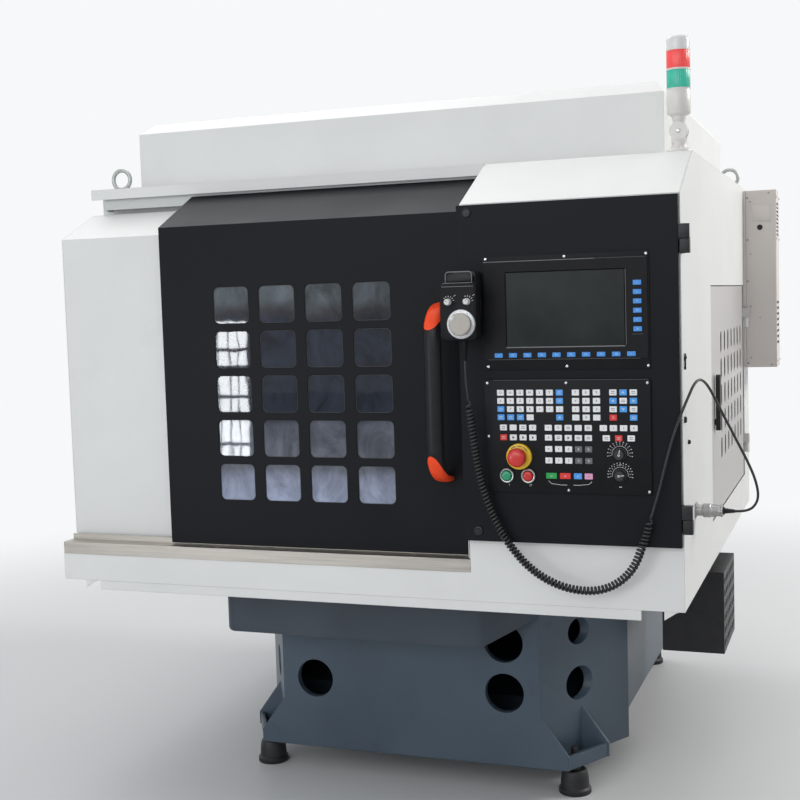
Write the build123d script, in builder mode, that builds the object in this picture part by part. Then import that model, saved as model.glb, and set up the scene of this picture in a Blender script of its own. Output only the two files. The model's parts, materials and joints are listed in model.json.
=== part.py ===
from build123d import *
import math
import os

os.makedirs("parts", exist_ok=True)

# Enclosed CNC engraving machine, in millimetres. The floor is z = 0 and the
# origin is under the middle of the machine's box. +X is the operator's right
# and -Y is the front.

# Driving dimensions of the enclosure
body_width = 1585
body_depth = 1560
exchanger_reach = 100
front_reach = 118
sheet = 2
skirt_bottom = 550
sill_bottom = 617
sill_top = 647
roof_top = 1562
band_height = 27
band_setback = 205
clearance = 0.3
bore_clearance = 0.05

right = (body_width - exchanger_reach) / 2
left = right - body_width
front = -(body_depth - front_reach) / 2
rear = front + body_depth

# Base
base_centre = right - 740
base_front_width = 700
base_rear_width = 1030
base_front = front + 250
base_flare_end = front + 540
base_rear = front + 1440
base_bottom = 72
base_rear_bottom = 150
base_wall = 20
base_plate = 10
bed_height = 50
bed_width = 860
bed_front = front + 330
bed_rear = front + 1400
base_hole = 100
flare_holes = ((260, 86), (394, 68))
flare_middle = 0.43

# Feet
pad_radius = 38
pad_height = 60
foot_plate = 14
foot_reach = 419
foot_front_y = front + 310
foot_rear_y = base_rear + 50
bracket_front = base_front + 6
bracket_rear = base_front + 136
bracket_reach = 65
bracket_root = 138
bracket_end = 34
bracket_wall = 12

# Front panels and sliding door
left_panel_face = front + 60
left_panel_top = 1425
left_panel_ridge = 1495
recess_face = front + 260
door_face = front + 35
door_top = 1441
door_slope_run = 177
door_slope_rise = 88
door_width = 792
door_flange = 18
door_travel = 290
door_gap = 3
window_size = 95
window_corner = 14
window_pitch_x = 123
window_pitch_z = 109
window_columns = 4
window_rows = 5
pane_thickness = 4
grip_width = 40
grip_stand = 76
grip_length = 330
grip_end = 36

# Control cabinet and its door
cabinet_width = 488
cabinet_depth = 260
slope_bottom = 1454
slope_run = 214
panel_bottom = 695
panel_top = 1450
panel_thickness = 18
panel_gap = 2
panel_face = front - panel_gap - panel_thickness
hinge_axis_x = right + 12
hinge_axis_y = front - 12
hinge_radius = 11
hinge_half = 31
hinge_heights = (756, 1356)

# Control panel fittings
unit_width = 370
unit_centre = right - 248
display_bottom = 1082
display_height = 252
keypad_bottom = 809
keypad_height = 252
bezel_rise = 6
screen_width = 261
screen_height = 163
screen_centre_z = 1215
key_rise = 1.6
key_width = 16
key_height = 13

# Pendant
pendant_width = 86
pendant_bottom = 1151
pendant_height = 128
pendant_back = front - 62
pendant_front = front - 98
pendant_centre = right - 467
wheel_radius = 32
wheel_disc_radius = 25
wheel_disc_stand = 16

# Side door, roof hood and tower light
side_door_front = front + 536
side_door_rear = front + 1412
side_door_bottom = 657
side_door_top = 1255
side_hinge_x = right + 9
side_hinge_y = side_door_rear + 6.5
side_hinge_radius = 6
side_hinge_half = 30
side_hinge_heights = (side_door_bottom + 100, side_door_top - 100)
side_door_gap = 2
side_door_depth = 6.7
side_door_face = right - 3
slot_columns = 7
slot_rows = 5
slot_pitch_y = 90
slot_pitch_z = 72
slot_width = 30
slot_length = 59
hood_front = front + 330
hood_rear = front + 1540
hood_left_inset = 80
hood_right_inset = 80
hood_shoulder = 1717
hood_rise = 31
hood_setback = 50
hood_inset = 24
lamp_x = right - 34
lamp_y = front + 250
lamp_radius = 27
swivel_rise = 49
body_rise = 39
body_height = 57
green_height = 43
red_height = 44
cap_height = 32
swivel_height = roof_top + swivel_rise

# Machine inside the enclosure
table_width = 600
table_depth = 480
table_top = 760
table_thickness = 32
table_y = front + 740
rail_spacing = 400
rail_width = 20
rail_height = 22
bridge_front = front + 900
bridge_depth = 130
bridge_bottom = 1000
bridge_height = 200
column_width = 110
screw_radius = 12
y_screw_z = 660
x_screw_z = 1100
spindle_y = front + 740
spindle_radius = 45


def slab(x0, x1, y0, y1, z0, z1, mode=Mode.ADD):
    """A box between two opposite corners."""
    with Locations(((x0 + x1) / 2, (y0 + y1) / 2, (z0 + z1) / 2)):
        Box(abs(x1 - x0), abs(y1 - y0), abs(z1 - z0), mode=mode)


def rod_x(x0, x1, y, z, radius, mode=Mode.ADD):
    """A round bar along X."""
    with Locations(Location(((x0 + x1) / 2, y, z), (0, 90, 0))):
        Cylinder(radius, abs(x1 - x0), mode=mode)


def rod_y(x, y0, y1, z, radius, mode=Mode.ADD):
    """A round bar along Y."""
    with Locations(Location((x, (y0 + y1) / 2, z), (90, 0, 0))):
        Cylinder(radius, abs(y1 - y0), mode=mode)


def rod_z(x, y, z0, z1, radius, mode=Mode.ADD):
    """A round bar along Z."""
    with Locations((x, y, (z0 + z1) / 2)):
        Cylinder(radius, abs(z1 - z0), mode=mode)


def save(part, name):
    """Label a finished piece and write it."""
    part.label = name
    export_step(part, "parts/" + name + ".step")


# Machine base: a welded box that widens towards the rear
half_front = base_front_width / 2
half_rear = base_rear_width / 2
base_outline = [
    (base_centre - half_front, base_front),
    (base_centre + half_front, base_front),
    (base_centre + half_rear, base_flare_end),
    (base_centre + half_rear, base_rear),
    (base_centre - half_rear, base_rear),
    (base_centre - half_rear, base_flare_end),
]
flare_slope = (half_rear - half_front) / (base_flare_end - base_front)
flare_angle = math.degrees(math.atan2(1, flare_slope))
front_hole_x = half_front - 92
low_hole_z = 257
high_hole_z = 385
bearing_block = 50
y_screw_front = bed_front + 20
y_screw_rear = bed_rear - 60
with BuildPart() as machine_base:
    with BuildSketch(Plane.XY.offset(base_bottom)):
        with BuildLine():
            Polyline(*base_outline, close=True)
        make_face()
    extrude(amount=skirt_bottom - base_bottom)
    with BuildSketch(Plane.XY.offset(base_bottom + base_plate)):
        with BuildLine():
            Polyline(*base_outline, close=True)
        make_face()
        offset(amount=-base_wall, mode=Mode.REPLACE, kind=Kind.INTERSECTION)
    extrude(amount=skirt_bottom - base_bottom - base_plate - base_wall, mode=Mode.SUBTRACT)
    slab(base_centre - half_rear - 1, base_centre + half_rear + 1, base_flare_end,
         base_rear + 1, base_bottom - 1, base_rear_bottom, mode=Mode.SUBTRACT)
    slab(base_centre - half_rear + base_plate, base_centre + half_rear - base_plate,
         base_flare_end - base_plate, base_rear - base_plate, base_rear_bottom,
         base_rear_bottom + base_plate)
    slab(base_centre - half_rear + base_plate, base_centre + half_rear - base_plate,
         base_flare_end - base_plate, base_flare_end, base_bottom, base_rear_bottom)
    for hole_x, hole_z in ((-front_hole_x, low_hole_z), (front_hole_x, low_hole_z),
                           (front_hole_x, high_hole_z)):
        rod_y(base_centre + hole_x, base_front - 1, base_front + base_wall + 1, hole_z,
              base_hole / 2, mode=Mode.SUBTRACT)
    for side in (-1, 1):
        flare_x = base_centre + side * (half_front + flare_middle * (half_rear - half_front))
        flare_y = base_front + flare_middle * (base_flare_end - base_front)
        for hole_z, hole_size in flare_holes:
            with Locations(Location((flare_x, flare_y, hole_z), (0, 90, side * (flare_angle - 90)))):
                Cylinder(hole_size / 2, 4 * base_wall, mode=Mode.SUBTRACT)
    slab(base_centre - bed_width / 2, base_centre + bed_width / 2, bed_front, bed_rear,
         skirt_bottom, skirt_bottom + bed_height)
    for block_y in (y_screw_front, y_screw_rear):
        slab(base_centre - bearing_block, base_centre + bearing_block, block_y - 20,
             block_y + 20, skirt_bottom + bed_height, y_screw_z + 30)
        rod_y(base_centre, block_y - 21, block_y + 21, y_screw_z,
              screw_radius + bore_clearance, mode=Mode.SUBTRACT)
    for side in (-1, 1):
        foot_x = base_centre + side * foot_reach
        inner_edge = []
        outer_edge = []
        for gusset_y in (bracket_front, bracket_rear):
            wall_x = half_front + (gusset_y - base_front) * flare_slope
            root_x = base_centre + side * (wall_x - bracket_wall)
            end_x = base_centre + side * (wall_x + bracket_reach)
            inner_edge.append((root_x, gusset_y))
            outer_edge.append((end_x, gusset_y))
            with BuildSketch(Plane.XZ.offset(-gusset_y - bracket_wall / 2)):
                with BuildLine():
                    Polyline((root_x, base_bottom), (end_x, base_bottom),
                             (end_x, base_bottom + bracket_end),
                             (root_x, base_bottom + bracket_root), close=True)
                make_face()
            extrude(amount=bracket_wall)
        with BuildSketch(Plane.XY.offset(base_bottom)):
            with BuildLine():
                Polyline(*inner_edge, outer_edge[1], outer_edge[0], close=True)
            make_face()
        extrude(amount=foot_plate)
        with BuildSketch(Plane.XY.offset(base_bottom)):
            with BuildLine():
                Polyline(*outer_edge, (outer_edge[1][0] - side * bracket_wall, outer_edge[1][1]),
                         (outer_edge[0][0] - side * bracket_wall, outer_edge[0][1]), close=True)
            make_face()
        extrude(amount=bracket_end)
        slab(base_centre + side * (foot_reach - 60), base_centre + side * (foot_reach + 46),
             base_rear - 4, foot_rear_y + 46, base_bottom, base_bottom + foot_plate)
        for offset_x in (-60, 34):
            slab(foot_x + side * offset_x, foot_x + side * (offset_x + 12), base_rear - base_wall,
                 foot_rear_y + 40, base_bottom, base_rear_bottom + 60)
        for foot_y in (foot_front_y, foot_rear_y):
            rod_z(foot_x, foot_y, base_bottom - 1, base_bottom + foot_plate + 1, 9,
                  mode=Mode.SUBTRACT)
save(machine_base.part, "machine_base")

# Levelling feet: four turned pads, each with its stud and lock nut
with BuildPart() as levelling_feet:
    for foot_x in (base_centre - foot_reach, base_centre + foot_reach):
        for foot_y in (foot_front_y, foot_rear_y):
            with Locations((foot_x, foot_y, 0)):
                Cone(pad_radius + 3, pad_radius - 6, pad_height,
                     align=(Align.CENTER, Align.CENTER, Align.MIN))
            rod_z(foot_x, foot_y, pad_height, base_bottom, 12)
            rod_z(foot_x, foot_y, base_bottom, base_bottom + foot_plate + 30, 8.5)
            with BuildSketch(Plane.XY.offset(base_bottom + foot_plate)):
                with Locations((foot_x, foot_y)):
                    RegularPolygon(15, 6)
            extrude(amount=13)
save(levelling_feet.part, "levelling_feet")

# Floor pan under the enclosure, with a way through for the bed and a drain slot
tray_left = base_centre - 466
tray_right = base_centre + 346
tray_turn = base_centre + 232
tray_front = front + 150
tray_back = base_front - 2
tray_bottom = 398
tray_rise = 56
tray_sheet = 3
pan_top = skirt_bottom + 3
with BuildPart() as floor_pan:
    slab(left + sheet, right - sheet, front + sheet, rear - sheet, skirt_bottom, pan_top)
    slab(base_centre - bed_width / 2 - 1, base_centre + bed_width / 2 + 1, bed_front - 1,
         bed_rear + 1, skirt_bottom - 1, pan_top + 1, mode=Mode.SUBTRACT)
    slab(tray_left + 60, tray_turn - 60, tray_front + 20, tray_back - 20, skirt_bottom - 1,
         pan_top + 1, mode=Mode.SUBTRACT)
save(floor_pan.part, "floor_pan")

# Coolant tray under the front edge: its right end runs back at a slant, its
# bottom rises towards the rear and has a square drain hole near the right end
drain_x = tray_turn - 35
drain_y = (tray_front + tray_back) / 2
drain_half = 30
with BuildPart() as chip_tray:
    with BuildSketch(Plane.XY.offset(tray_bottom)):
        with BuildLine():
            Polyline((tray_left, tray_front), (tray_turn, tray_front), (tray_right, tray_back),
                     (tray_left, tray_back), close=True)
        make_face()
    extrude(amount=skirt_bottom - tray_bottom)
    fillet(chip_tray.edges().filter_by(Axis.Z).group_by(Axis.Y)[0], 30)
    with BuildSketch(Plane.YZ.offset(tray_left - 1)):
        with BuildLine():
            Polyline((tray_front, tray_bottom), (tray_back + 1, tray_bottom + tray_rise),
                     (tray_back + 1, tray_bottom - 1), (tray_front, tray_bottom - 1), close=True)
        make_face()
    extrude(amount=tray_right - tray_left + 2, mode=Mode.SUBTRACT)
    offset(amount=-tray_sheet, openings=chip_tray.faces().sort_by(Axis.Z)[-1])
    slab(drain_x - drain_half, drain_x + drain_half, drain_y - drain_half, drain_y + drain_half,
         tray_bottom - 1, tray_bottom + tray_rise + tray_sheet, mode=Mode.SUBTRACT)
save(chip_tray.part, "chip_tray")

# Front skirt: one sheet across the front with the lower strip folded beneath it
skirt_step = right - 484
lip_left = left + 106
lip_right = right - 95
lip_drop = 23
skirt_lap = 8
with BuildPart() as front_skirt:
    slab(left, right, front, front + sheet, skirt_bottom, sill_bottom)
    slab(skirt_step, right, front, front + sheet, sill_bottom, panel_bottom + skirt_lap)
    slab(lip_left, lip_right, front + 1, front + 1 + sheet, skirt_bottom - lip_drop, skirt_bottom)
    slab(lip_left, lip_right, front + 1, front + 40, skirt_bottom - sheet, skirt_bottom)
    for tab_x, tab_side in ((lip_left - 42, 1), (lip_right + 50, 1)):
        with BuildSketch(Plane.XZ.offset(-front - 3)):
            with BuildLine():
                Polyline((tab_x, skirt_bottom), (tab_x + 30, skirt_bottom),
                         (tab_x, skirt_bottom - 20), close=True)
            make_face()
        extrude(amount=sheet)
        slab(tab_x, tab_x + 30, front + 1, front + 30, skirt_bottom - sheet, skirt_bottom)
save(front_skirt.part, "front_skirt")

# Door sill: brushed angle with the low rib that guides the sliding door
rib_y = door_face + 8
with BuildPart() as door_sill:
    slab(left + sheet, skirt_step, front - 1, front + sheet, sill_bottom, sill_top)
    slab(left + sheet, skirt_step - 4, front - 1, left_panel_face + 16, sill_top - sheet, sill_top)
    slab(left + sheet, skirt_step - 4, rib_y, rib_y + 3, sill_top, sill_top + 14)
    slab(left + sheet, skirt_step - 4, left_panel_face + 14, left_panel_face + 16,
         pan_top, sill_top)
save(door_sill.part, "door_sill")

# Enclosure shell: side and rear sheets, with the opening for the side door
with BuildPart() as enclosure_shell:
    with BuildSketch(Plane.YZ.offset(right - sheet)):
        with BuildLine():
            Polyline((front + sheet, skirt_bottom), (rear, skirt_bottom), (rear, roof_top - sheet),
                     (front + slope_run, roof_top - sheet), (front + sheet, slope_bottom),
                     close=True)
        make_face()
    extrude(amount=sheet)
    with BuildSketch(Plane.YZ.offset(left)):
        with BuildLine():
            Polyline((front + sheet, skirt_bottom), (rear, skirt_bottom), (rear, roof_top - sheet),
                     (recess_face, roof_top - sheet), (recess_face, left_panel_ridge),
                     (front + 213, left_panel_ridge), (left_panel_face, left_panel_top),
                     (left_panel_face, sill_top), (front + sheet, sill_top), close=True)
        make_face()
    extrude(amount=sheet)
    slab(left, right, rear - sheet, rear, skirt_bottom, roof_top - sheet)
    slab(right - sheet - 1, right + 1, side_door_front - side_door_gap,
         side_door_rear + side_door_gap, side_door_bottom - side_door_gap,
         side_door_top + side_door_gap, mode=Mode.SUBTRACT)
    for hinge_z in side_hinge_heights:
        rod_z(side_hinge_x, side_hinge_y, hinge_z - side_hinge_half, hinge_z - clearance,
              side_hinge_radius)
        slab(right, side_hinge_x, side_hinge_y - 1, side_hinge_y + 3, hinge_z - side_hinge_half,
             hinge_z - clearance)
        rod_z(side_hinge_x, side_hinge_y, hinge_z - clearance, hinge_z + side_hinge_half - 6, 3)
save(enclosure_shell.part, "enclosure_shell")

# Left front panel: fixed sheet that the sliding door passes over
left_panel_edge = right - 1262
with BuildPart() as left_front_panel:
    with BuildSketch(Plane.YZ.offset(left + sheet)):
        with BuildLine():
            Polyline((left_panel_face, sill_top), (left_panel_face, left_panel_top),
                     (front + 213, left_panel_ridge), (recess_face, left_panel_ridge),
                     (recess_face, left_panel_ridge - sheet),
                     (front + 213.4, left_panel_ridge - sheet),
                     (left_panel_face + sheet, left_panel_top - 1),
                     (left_panel_face + sheet, sill_top), close=True)
        make_face()
    extrude(amount=left_panel_edge - left - sheet)
    slab(left_panel_edge - sheet, left_panel_edge, left_panel_face, left_panel_face + 26,
         sill_top, left_panel_top)
save(left_front_panel.part, "left_front_panel")

# Roof: top sheet, the front band over the door and the wall behind the door rail
band_bottom = roof_top - band_height
cabinet_left = right - cabinet_width
with BuildPart() as roof_panel:
    slab(left, right, front + slope_run, rear, roof_top - sheet, roof_top)
    slab(left, cabinet_left, front + band_setback, front + band_setback + sheet, band_bottom,
         roof_top)
    slab(left, cabinet_left, front + band_setback, front + slope_run, roof_top - sheet, roof_top)
    slab(left + sheet, cabinet_left, recess_face, recess_face + sheet, left_panel_ridge - 2,
         roof_top - sheet)
    slab(left + hood_left_inset + hood_inset + 20, right - hood_right_inset - hood_inset - 20,
         hood_front + 40, hood_rear - 40, roof_top - sheet - 1, roof_top + 1, mode=Mode.SUBTRACT)
save(roof_panel.part, "roof_panel")

# Rear hood: raised cover over the gantry with sloped upper edges
hood_left = left + hood_left_inset
hood_right = right - hood_right_inset
hood_middle = ((hood_left + hood_right) / 2, (hood_front + hood_rear) / 2)
hood_width = hood_right - hood_left
hood_depth = hood_rear - hood_front
with BuildPart() as rear_hood:
    for wall, mode in ((0, Mode.ADD), (sheet, Mode.SUBTRACT)):
        slab(hood_left + wall, hood_right - wall, hood_front + wall, hood_rear - wall,
             roof_top - wall, hood_shoulder - wall / 2, mode=mode)
        with BuildSketch(Plane.XY.offset(hood_shoulder - wall / 2)):
            with Locations(hood_middle):
                Rectangle(hood_width - 2 * wall, hood_depth - 2 * wall)
        with BuildSketch(Plane.XY.offset(hood_shoulder + hood_rise - wall)):
            with Locations(hood_middle):
                Rectangle(hood_width - 2 * hood_inset - 2 * wall,
                          hood_depth - 2 * hood_setback - 2 * wall)
        loft(mode=mode)
save(rear_hood.part, "rear_hood")

# Control cabinet: the box behind the control door, with the sloped top
with BuildPart() as control_cabinet:
    with BuildSketch(Plane.YZ.offset(cabinet_left)):
        with BuildLine():
            Polyline((front, panel_bottom + skirt_lap), (front, slope_bottom),
                     (front + slope_run, roof_top), (front + slope_run, roof_top - sheet),
                     (front + cabinet_depth, roof_top - sheet),
                     (front + cabinet_depth, sill_top + 3), (front + sheet, sill_top + 3),
                     (front + sheet, panel_bottom + skirt_lap), close=True)
        make_face()
    extrude(amount=cabinet_width - sheet)
    with BuildSketch(Plane.YZ.offset(cabinet_left + sheet)):
        with BuildLine():
            Polyline((front + sheet, sill_top + 5), (front + sheet, slope_bottom - 1),
                     (front + slope_run, roof_top - 2 * sheet),
                     (front + cabinet_depth - sheet, roof_top - 2 * sheet),
                     (front + cabinet_depth - sheet, sill_top + 5), close=True)
        make_face()
    extrude(amount=cabinet_width - 2 * sheet, mode=Mode.SUBTRACT)
    slab(cabinet_left + 8, right - 30, front - 1, front + sheet + 1, panel_bottom + skirt_lap + 3,
         panel_top - 6, mode=Mode.SUBTRACT)
save(control_cabinet.part, "control_cabinet")

# Lifting eyes on the roof
eye_ring = 26
eye_wire = 5.5
eye_places = ((left + 37, front + 300), (left + 37, front + 1420), (right - 40, front + 1420))
with BuildPart() as lifting_eyes:
    for eye_x, eye_y in eye_places:
        rod_z(eye_x, eye_y, roof_top, roof_top + 6, 16)
        with Locations(Location((eye_x, eye_y, roof_top + 1 + eye_ring + eye_wire), (90, 0, 0))):
            Torus(eye_ring, eye_wire)
save(lifting_eyes.part, "lifting_eyes")

# Upper rail of the sliding door: a channel screwed under the roof
rail_front = front + 220
rail_back = front + 244
rail_bottom = 1508
rail_left = left + 30
rail_right = cabinet_left - sheet
with BuildPart() as door_rail:
    slab(rail_left, rail_right, rail_front, rail_back, rail_bottom, roof_top - sheet)
    slab(rail_left - 1, rail_right + 1, rail_front + 3, rail_back - 3, rail_bottom + 3,
         roof_top - sheet - 3, mode=Mode.SUBTRACT)
    slab(rail_left - 1, rail_right + 1, rail_front + 8, rail_back - 8, rail_bottom - 1,
         rail_bottom + 4, mode=Mode.SUBTRACT)
    slab(rail_left, rail_left + 12, rail_front - 6, rail_back, rail_bottom - 4, rail_bottom)
save(door_rail.part, "door_rail")

# Sliding door: folded black sheet with its window grid and two hanger shoes
door_right = cabinet_left - 4
door_left = door_right - door_width
door_bottom = sill_top + door_gap
door_ridge_y = door_face + door_slope_run
door_ridge_z = door_top + door_slope_rise
window_centre_x = right - 906
window_centre_z = 1026
shoe_length = 60
shoe_gap = 1
with BuildPart() as sliding_door:
    with BuildSketch(Plane.YZ.offset(door_left)):
        with BuildLine():
            Polyline((door_face, door_bottom), (door_face, door_top), (door_ridge_y, door_ridge_z),
                     (door_ridge_y + 1, door_ridge_z - sheet), (door_face + sheet, door_top - 1.2),
                     (door_face + sheet, door_bottom), close=True)
        make_face()
    extrude(amount=door_width)
    for edge_x in (door_left, door_right - sheet):
        with BuildSketch(Plane.YZ.offset(edge_x)):
            with BuildLine():
                Polyline((door_face, sill_top + 24), (door_face, door_top),
                         (door_ridge_y, door_ridge_z), (door_ridge_y, door_ridge_z - door_flange),
                         (door_face + door_flange, door_top - door_flange / 2),
                         (door_face + door_flange, sill_top + 24), close=True)
            make_face()
        extrude(amount=sheet)
    with BuildSketch(Plane.XZ.offset(-door_face - sheet - 1)):
        with Locations((window_centre_x, window_centre_z)):
            with GridLocations(window_pitch_x, window_pitch_z, window_columns, window_rows):
                RectangleRounded(window_size, window_size - 4, window_corner)
    extrude(amount=sheet + 2, mode=Mode.SUBTRACT)
    for shoe_x in (door_left + 90, door_right - 90):
        slab(shoe_x - shoe_length / 2, shoe_x + shoe_length / 2, rail_front + 8 + shoe_gap,
             rail_back - 8 - shoe_gap, rail_bottom - 8, rail_bottom + 12)
        slab(shoe_x - shoe_length / 2, shoe_x + shoe_length / 2, rail_front + 3 + shoe_gap,
             rail_back - 3 - shoe_gap, rail_bottom + 3 + clearance, rail_bottom + 16)
        slab(shoe_x - shoe_length / 2, shoe_x + shoe_length / 2, door_ridge_y - 8,
             rail_back - 8 - shoe_gap, rail_bottom - 8, rail_bottom - 5)
        slab(shoe_x - shoe_length / 2, shoe_x + shoe_length / 2, door_ridge_y - 8,
             door_ridge_y - 5, rail_bottom - 8, door_ridge_z - 5)
save(sliding_door.part, "sliding_door")

# Window pane: one smoked sheet behind the grid
pane_margin = 22
pane_width = window_pitch_x * (window_columns - 1) + window_size + 2 * pane_margin
pane_height = window_pitch_z * (window_rows - 1) + window_size + 2 * pane_margin
with BuildPart() as door_window:
    slab(window_centre_x - pane_width / 2, window_centre_x + pane_width / 2, door_face + sheet,
         door_face + sheet + pane_thickness, window_centre_z - pane_height / 2,
         window_centre_z + pane_height / 2)
save(door_window.part, "door_window")

# Door handle: a fat black grip held between two orange end brackets
grip_x = door_right - 54
grip_z = 1029
grip_y = door_face - grip_stand
grip_half = grip_length / 2
with BuildPart() as door_grip:
    slab(grip_x - grip_width / 2, grip_x + grip_width / 2, grip_y - 15, grip_y + 15,
         grip_z - grip_half, grip_z + grip_half)
    fillet(door_grip.edges().filter_by(Axis.Z), 12)
save(door_grip.part, "door_grip")

with BuildPart() as grip_ends:
    for side in (-1, 1):
        seat_z = grip_z + side * grip_half
        with BuildSketch(Plane.YZ.offset(grip_x - grip_width / 2)):
            with BuildLine():
                Polyline((grip_y - 15, seat_z), (grip_y - 15, seat_z + side * 8),
                         (grip_y, seat_z + side * grip_end), (door_face, seat_z + side * grip_end),
                         (door_face, seat_z + side * 6), (grip_y + 15, seat_z), close=True)
            make_face()
        extrude(amount=grip_width)
    fillet(grip_ends.edges().filter_by(Axis.X).group_by(Axis.Y)[0], 5)
save(grip_ends.part, "grip_ends")

# Control door: folded black sheet, open at the back, cut for its two units
cut_margin = 14
display_top = display_bottom + display_height
keypad_top = keypad_bottom + keypad_height
panel_left = right - 490
panel_right = right - 2
lock_places = ((panel_left + 24, 1433), (panel_left + 34, 718))
lock_radius = 11
with BuildPart() as control_door:
    slab(panel_left, panel_right, panel_face, front - panel_gap, panel_bottom, panel_top)
    slab(panel_left + sheet, panel_right - sheet, panel_face + sheet, front - panel_gap + 1,
         panel_bottom + sheet, panel_top - sheet, mode=Mode.SUBTRACT)
    for unit_bottom, unit_top in ((display_bottom, display_top), (keypad_bottom, keypad_top)):
        slab(unit_centre - unit_width / 2 + cut_margin, unit_centre + unit_width / 2 - cut_margin,
             panel_face - 1, panel_face + sheet + 1, unit_bottom + cut_margin,
             unit_top - cut_margin, mode=Mode.SUBTRACT)
    for lock_x, lock_z in lock_places:
        rod_y(lock_x, panel_face - 1, panel_face + sheet + 1, lock_z, lock_radius - 3 + clearance,
              mode=Mode.SUBTRACT)
save(control_door.part, "control_door")

# Hinges: fixed lower halves with their pins, and upper halves on the door
pin_radius = 4
with BuildPart() as fixed_hinges:
    for hinge_z in hinge_heights:
        rod_z(hinge_axis_x, hinge_axis_y, hinge_z - hinge_half, hinge_z - clearance, hinge_radius)
        slab(right, right + 6, hinge_axis_y, front + 26, hinge_z - hinge_half,
             hinge_z - clearance)
        rod_z(hinge_axis_x, hinge_axis_y, hinge_z - clearance, hinge_z + hinge_half - 5,
              pin_radius)
save(fixed_hinges.part, "fixed_hinges")

with BuildPart() as door_hinges:
    for hinge_z in hinge_heights:
        rod_z(hinge_axis_x, hinge_axis_y, hinge_z, hinge_z + hinge_half, hinge_radius)
        slab(panel_right, hinge_axis_x - 4, panel_face, hinge_axis_y + 3, hinge_z,
             hinge_z + hinge_half)
        rod_z(hinge_axis_x, hinge_axis_y, hinge_z - 1, hinge_z + hinge_half - 4,
              pin_radius + bore_clearance, mode=Mode.SUBTRACT)
save(door_hinges.part, "door_hinges")

# Quarter-turn locks, each with its cam behind the door
for lock_name, cam_reach, (lock_x, lock_z) in zip(("upper_lock", "lower_lock"), (-18, 28),
                                                  lock_places):
    with BuildPart() as lock:
        rod_y(lock_x, panel_face - 4, panel_face, lock_z, lock_radius)
        rod_y(lock_x, panel_face, front + sheet + 4, lock_z, lock_radius - 3)
        slab(lock_x - 1.5, lock_x + 1.5, panel_face - 5, panel_face - 2, lock_z - 8, lock_z + 8,
             mode=Mode.SUBTRACT)
        slab(lock_x - 6, lock_x + 6, front + sheet + 1, front + sheet + 4, lock_z,
             lock_z + cam_reach)
    save(lock.part, lock_name)

# Display unit with its screen and function keys
unit_left = unit_centre - unit_width / 2
unit_right = unit_centre + unit_width / 2
screen_x = right - 247
unit_face = panel_face - bezel_rise
side_key_x = right - 88.5
side_key_top = 1267
side_key_pitch = 19.8
side_keys = 6
low_key_left = right - 397
low_key_pitch = 32.7
low_key_z = 1114
low_keys = 10
with BuildPart() as display_unit:
    slab(unit_left, unit_right, unit_face, panel_face, display_bottom, display_top)
    fillet(display_unit.edges().filter_by(Axis.Y), 5)
    slab(unit_left + cut_margin + 1, unit_right - cut_margin - 1, panel_face, front + 42,
         display_bottom + cut_margin + 1, display_top - cut_margin - 1)
    slab(screen_x - screen_width / 2, screen_x + screen_width / 2, unit_face - 1, unit_face + 3,
         screen_centre_z - screen_height / 2, screen_centre_z + screen_height / 2,
         mode=Mode.SUBTRACT)
save(display_unit.part, "display_unit")

with BuildPart() as display_screen:
    slab(screen_x - screen_width / 2 + 0.2, screen_x + screen_width / 2 - 0.2, unit_face + 1.2,
         unit_face + 3, screen_centre_z - screen_height / 2 + 0.2,
         screen_centre_z + screen_height / 2 - 0.2)
save(display_screen.part, "display_screen")

with BuildPart() as function_keys:
    for i in range(side_keys):
        key_z = side_key_top - i * side_key_pitch
        slab(side_key_x - 9, side_key_x + 9, unit_face - key_rise, unit_face, key_z - 6.5,
             key_z + 6.5)
    for i in range(low_keys):
        key_x = low_key_left + i * low_key_pitch
        slab(key_x - 10, key_x + 10, unit_face - key_rise, unit_face, low_key_z - 5.5,
             low_key_z + 5.5)
save(function_keys.part, "function_keys")

# Keypad: one moulded panel with raised keys in its printed blocks
alpha_left = right - 395
alpha_pitch = 22.2
number_left = right - 226
number_pitch = 23
arrow_left = right - 144
arrow_pitch = 22
top_row = 1032
row_pitch = 18.2
mode_rows = (954.5, 932.5)
low_rows = (907.5, 882)
cycle_row = 848
key_places = []
for row in range(4):
    row_z = top_row - row * row_pitch
    alpha_columns = (0, 1, 2, 3, 6) if row == 3 else range(7)
    key_places += [(alpha_left + column * alpha_pitch, row_z) for column in alpha_columns]
    key_places += [(number_left + column * number_pitch, row_z) for column in range(3)]
    arrow_columns = (0, 2) if row == 3 else range(3)
    key_places += [(arrow_left + column * arrow_pitch, row_z) for column in arrow_columns]
for row_z in mode_rows:
    key_places += [(right - 390 + column * alpha_pitch, row_z) for column in range(4)]
    key_places += [(right - 288 + column * alpha_pitch, row_z) for column in range(5)]
key_places += [(right - 166 + column * arrow_pitch, mode_rows[0]) for column in range(4)]
key_places += [(right - 160 + column * 27, mode_rows[1]) for column in range(3)]
for row_z in low_rows:
    key_places += [(right - 288 + column * alpha_pitch, row_z) for column in range(5)]
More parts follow.
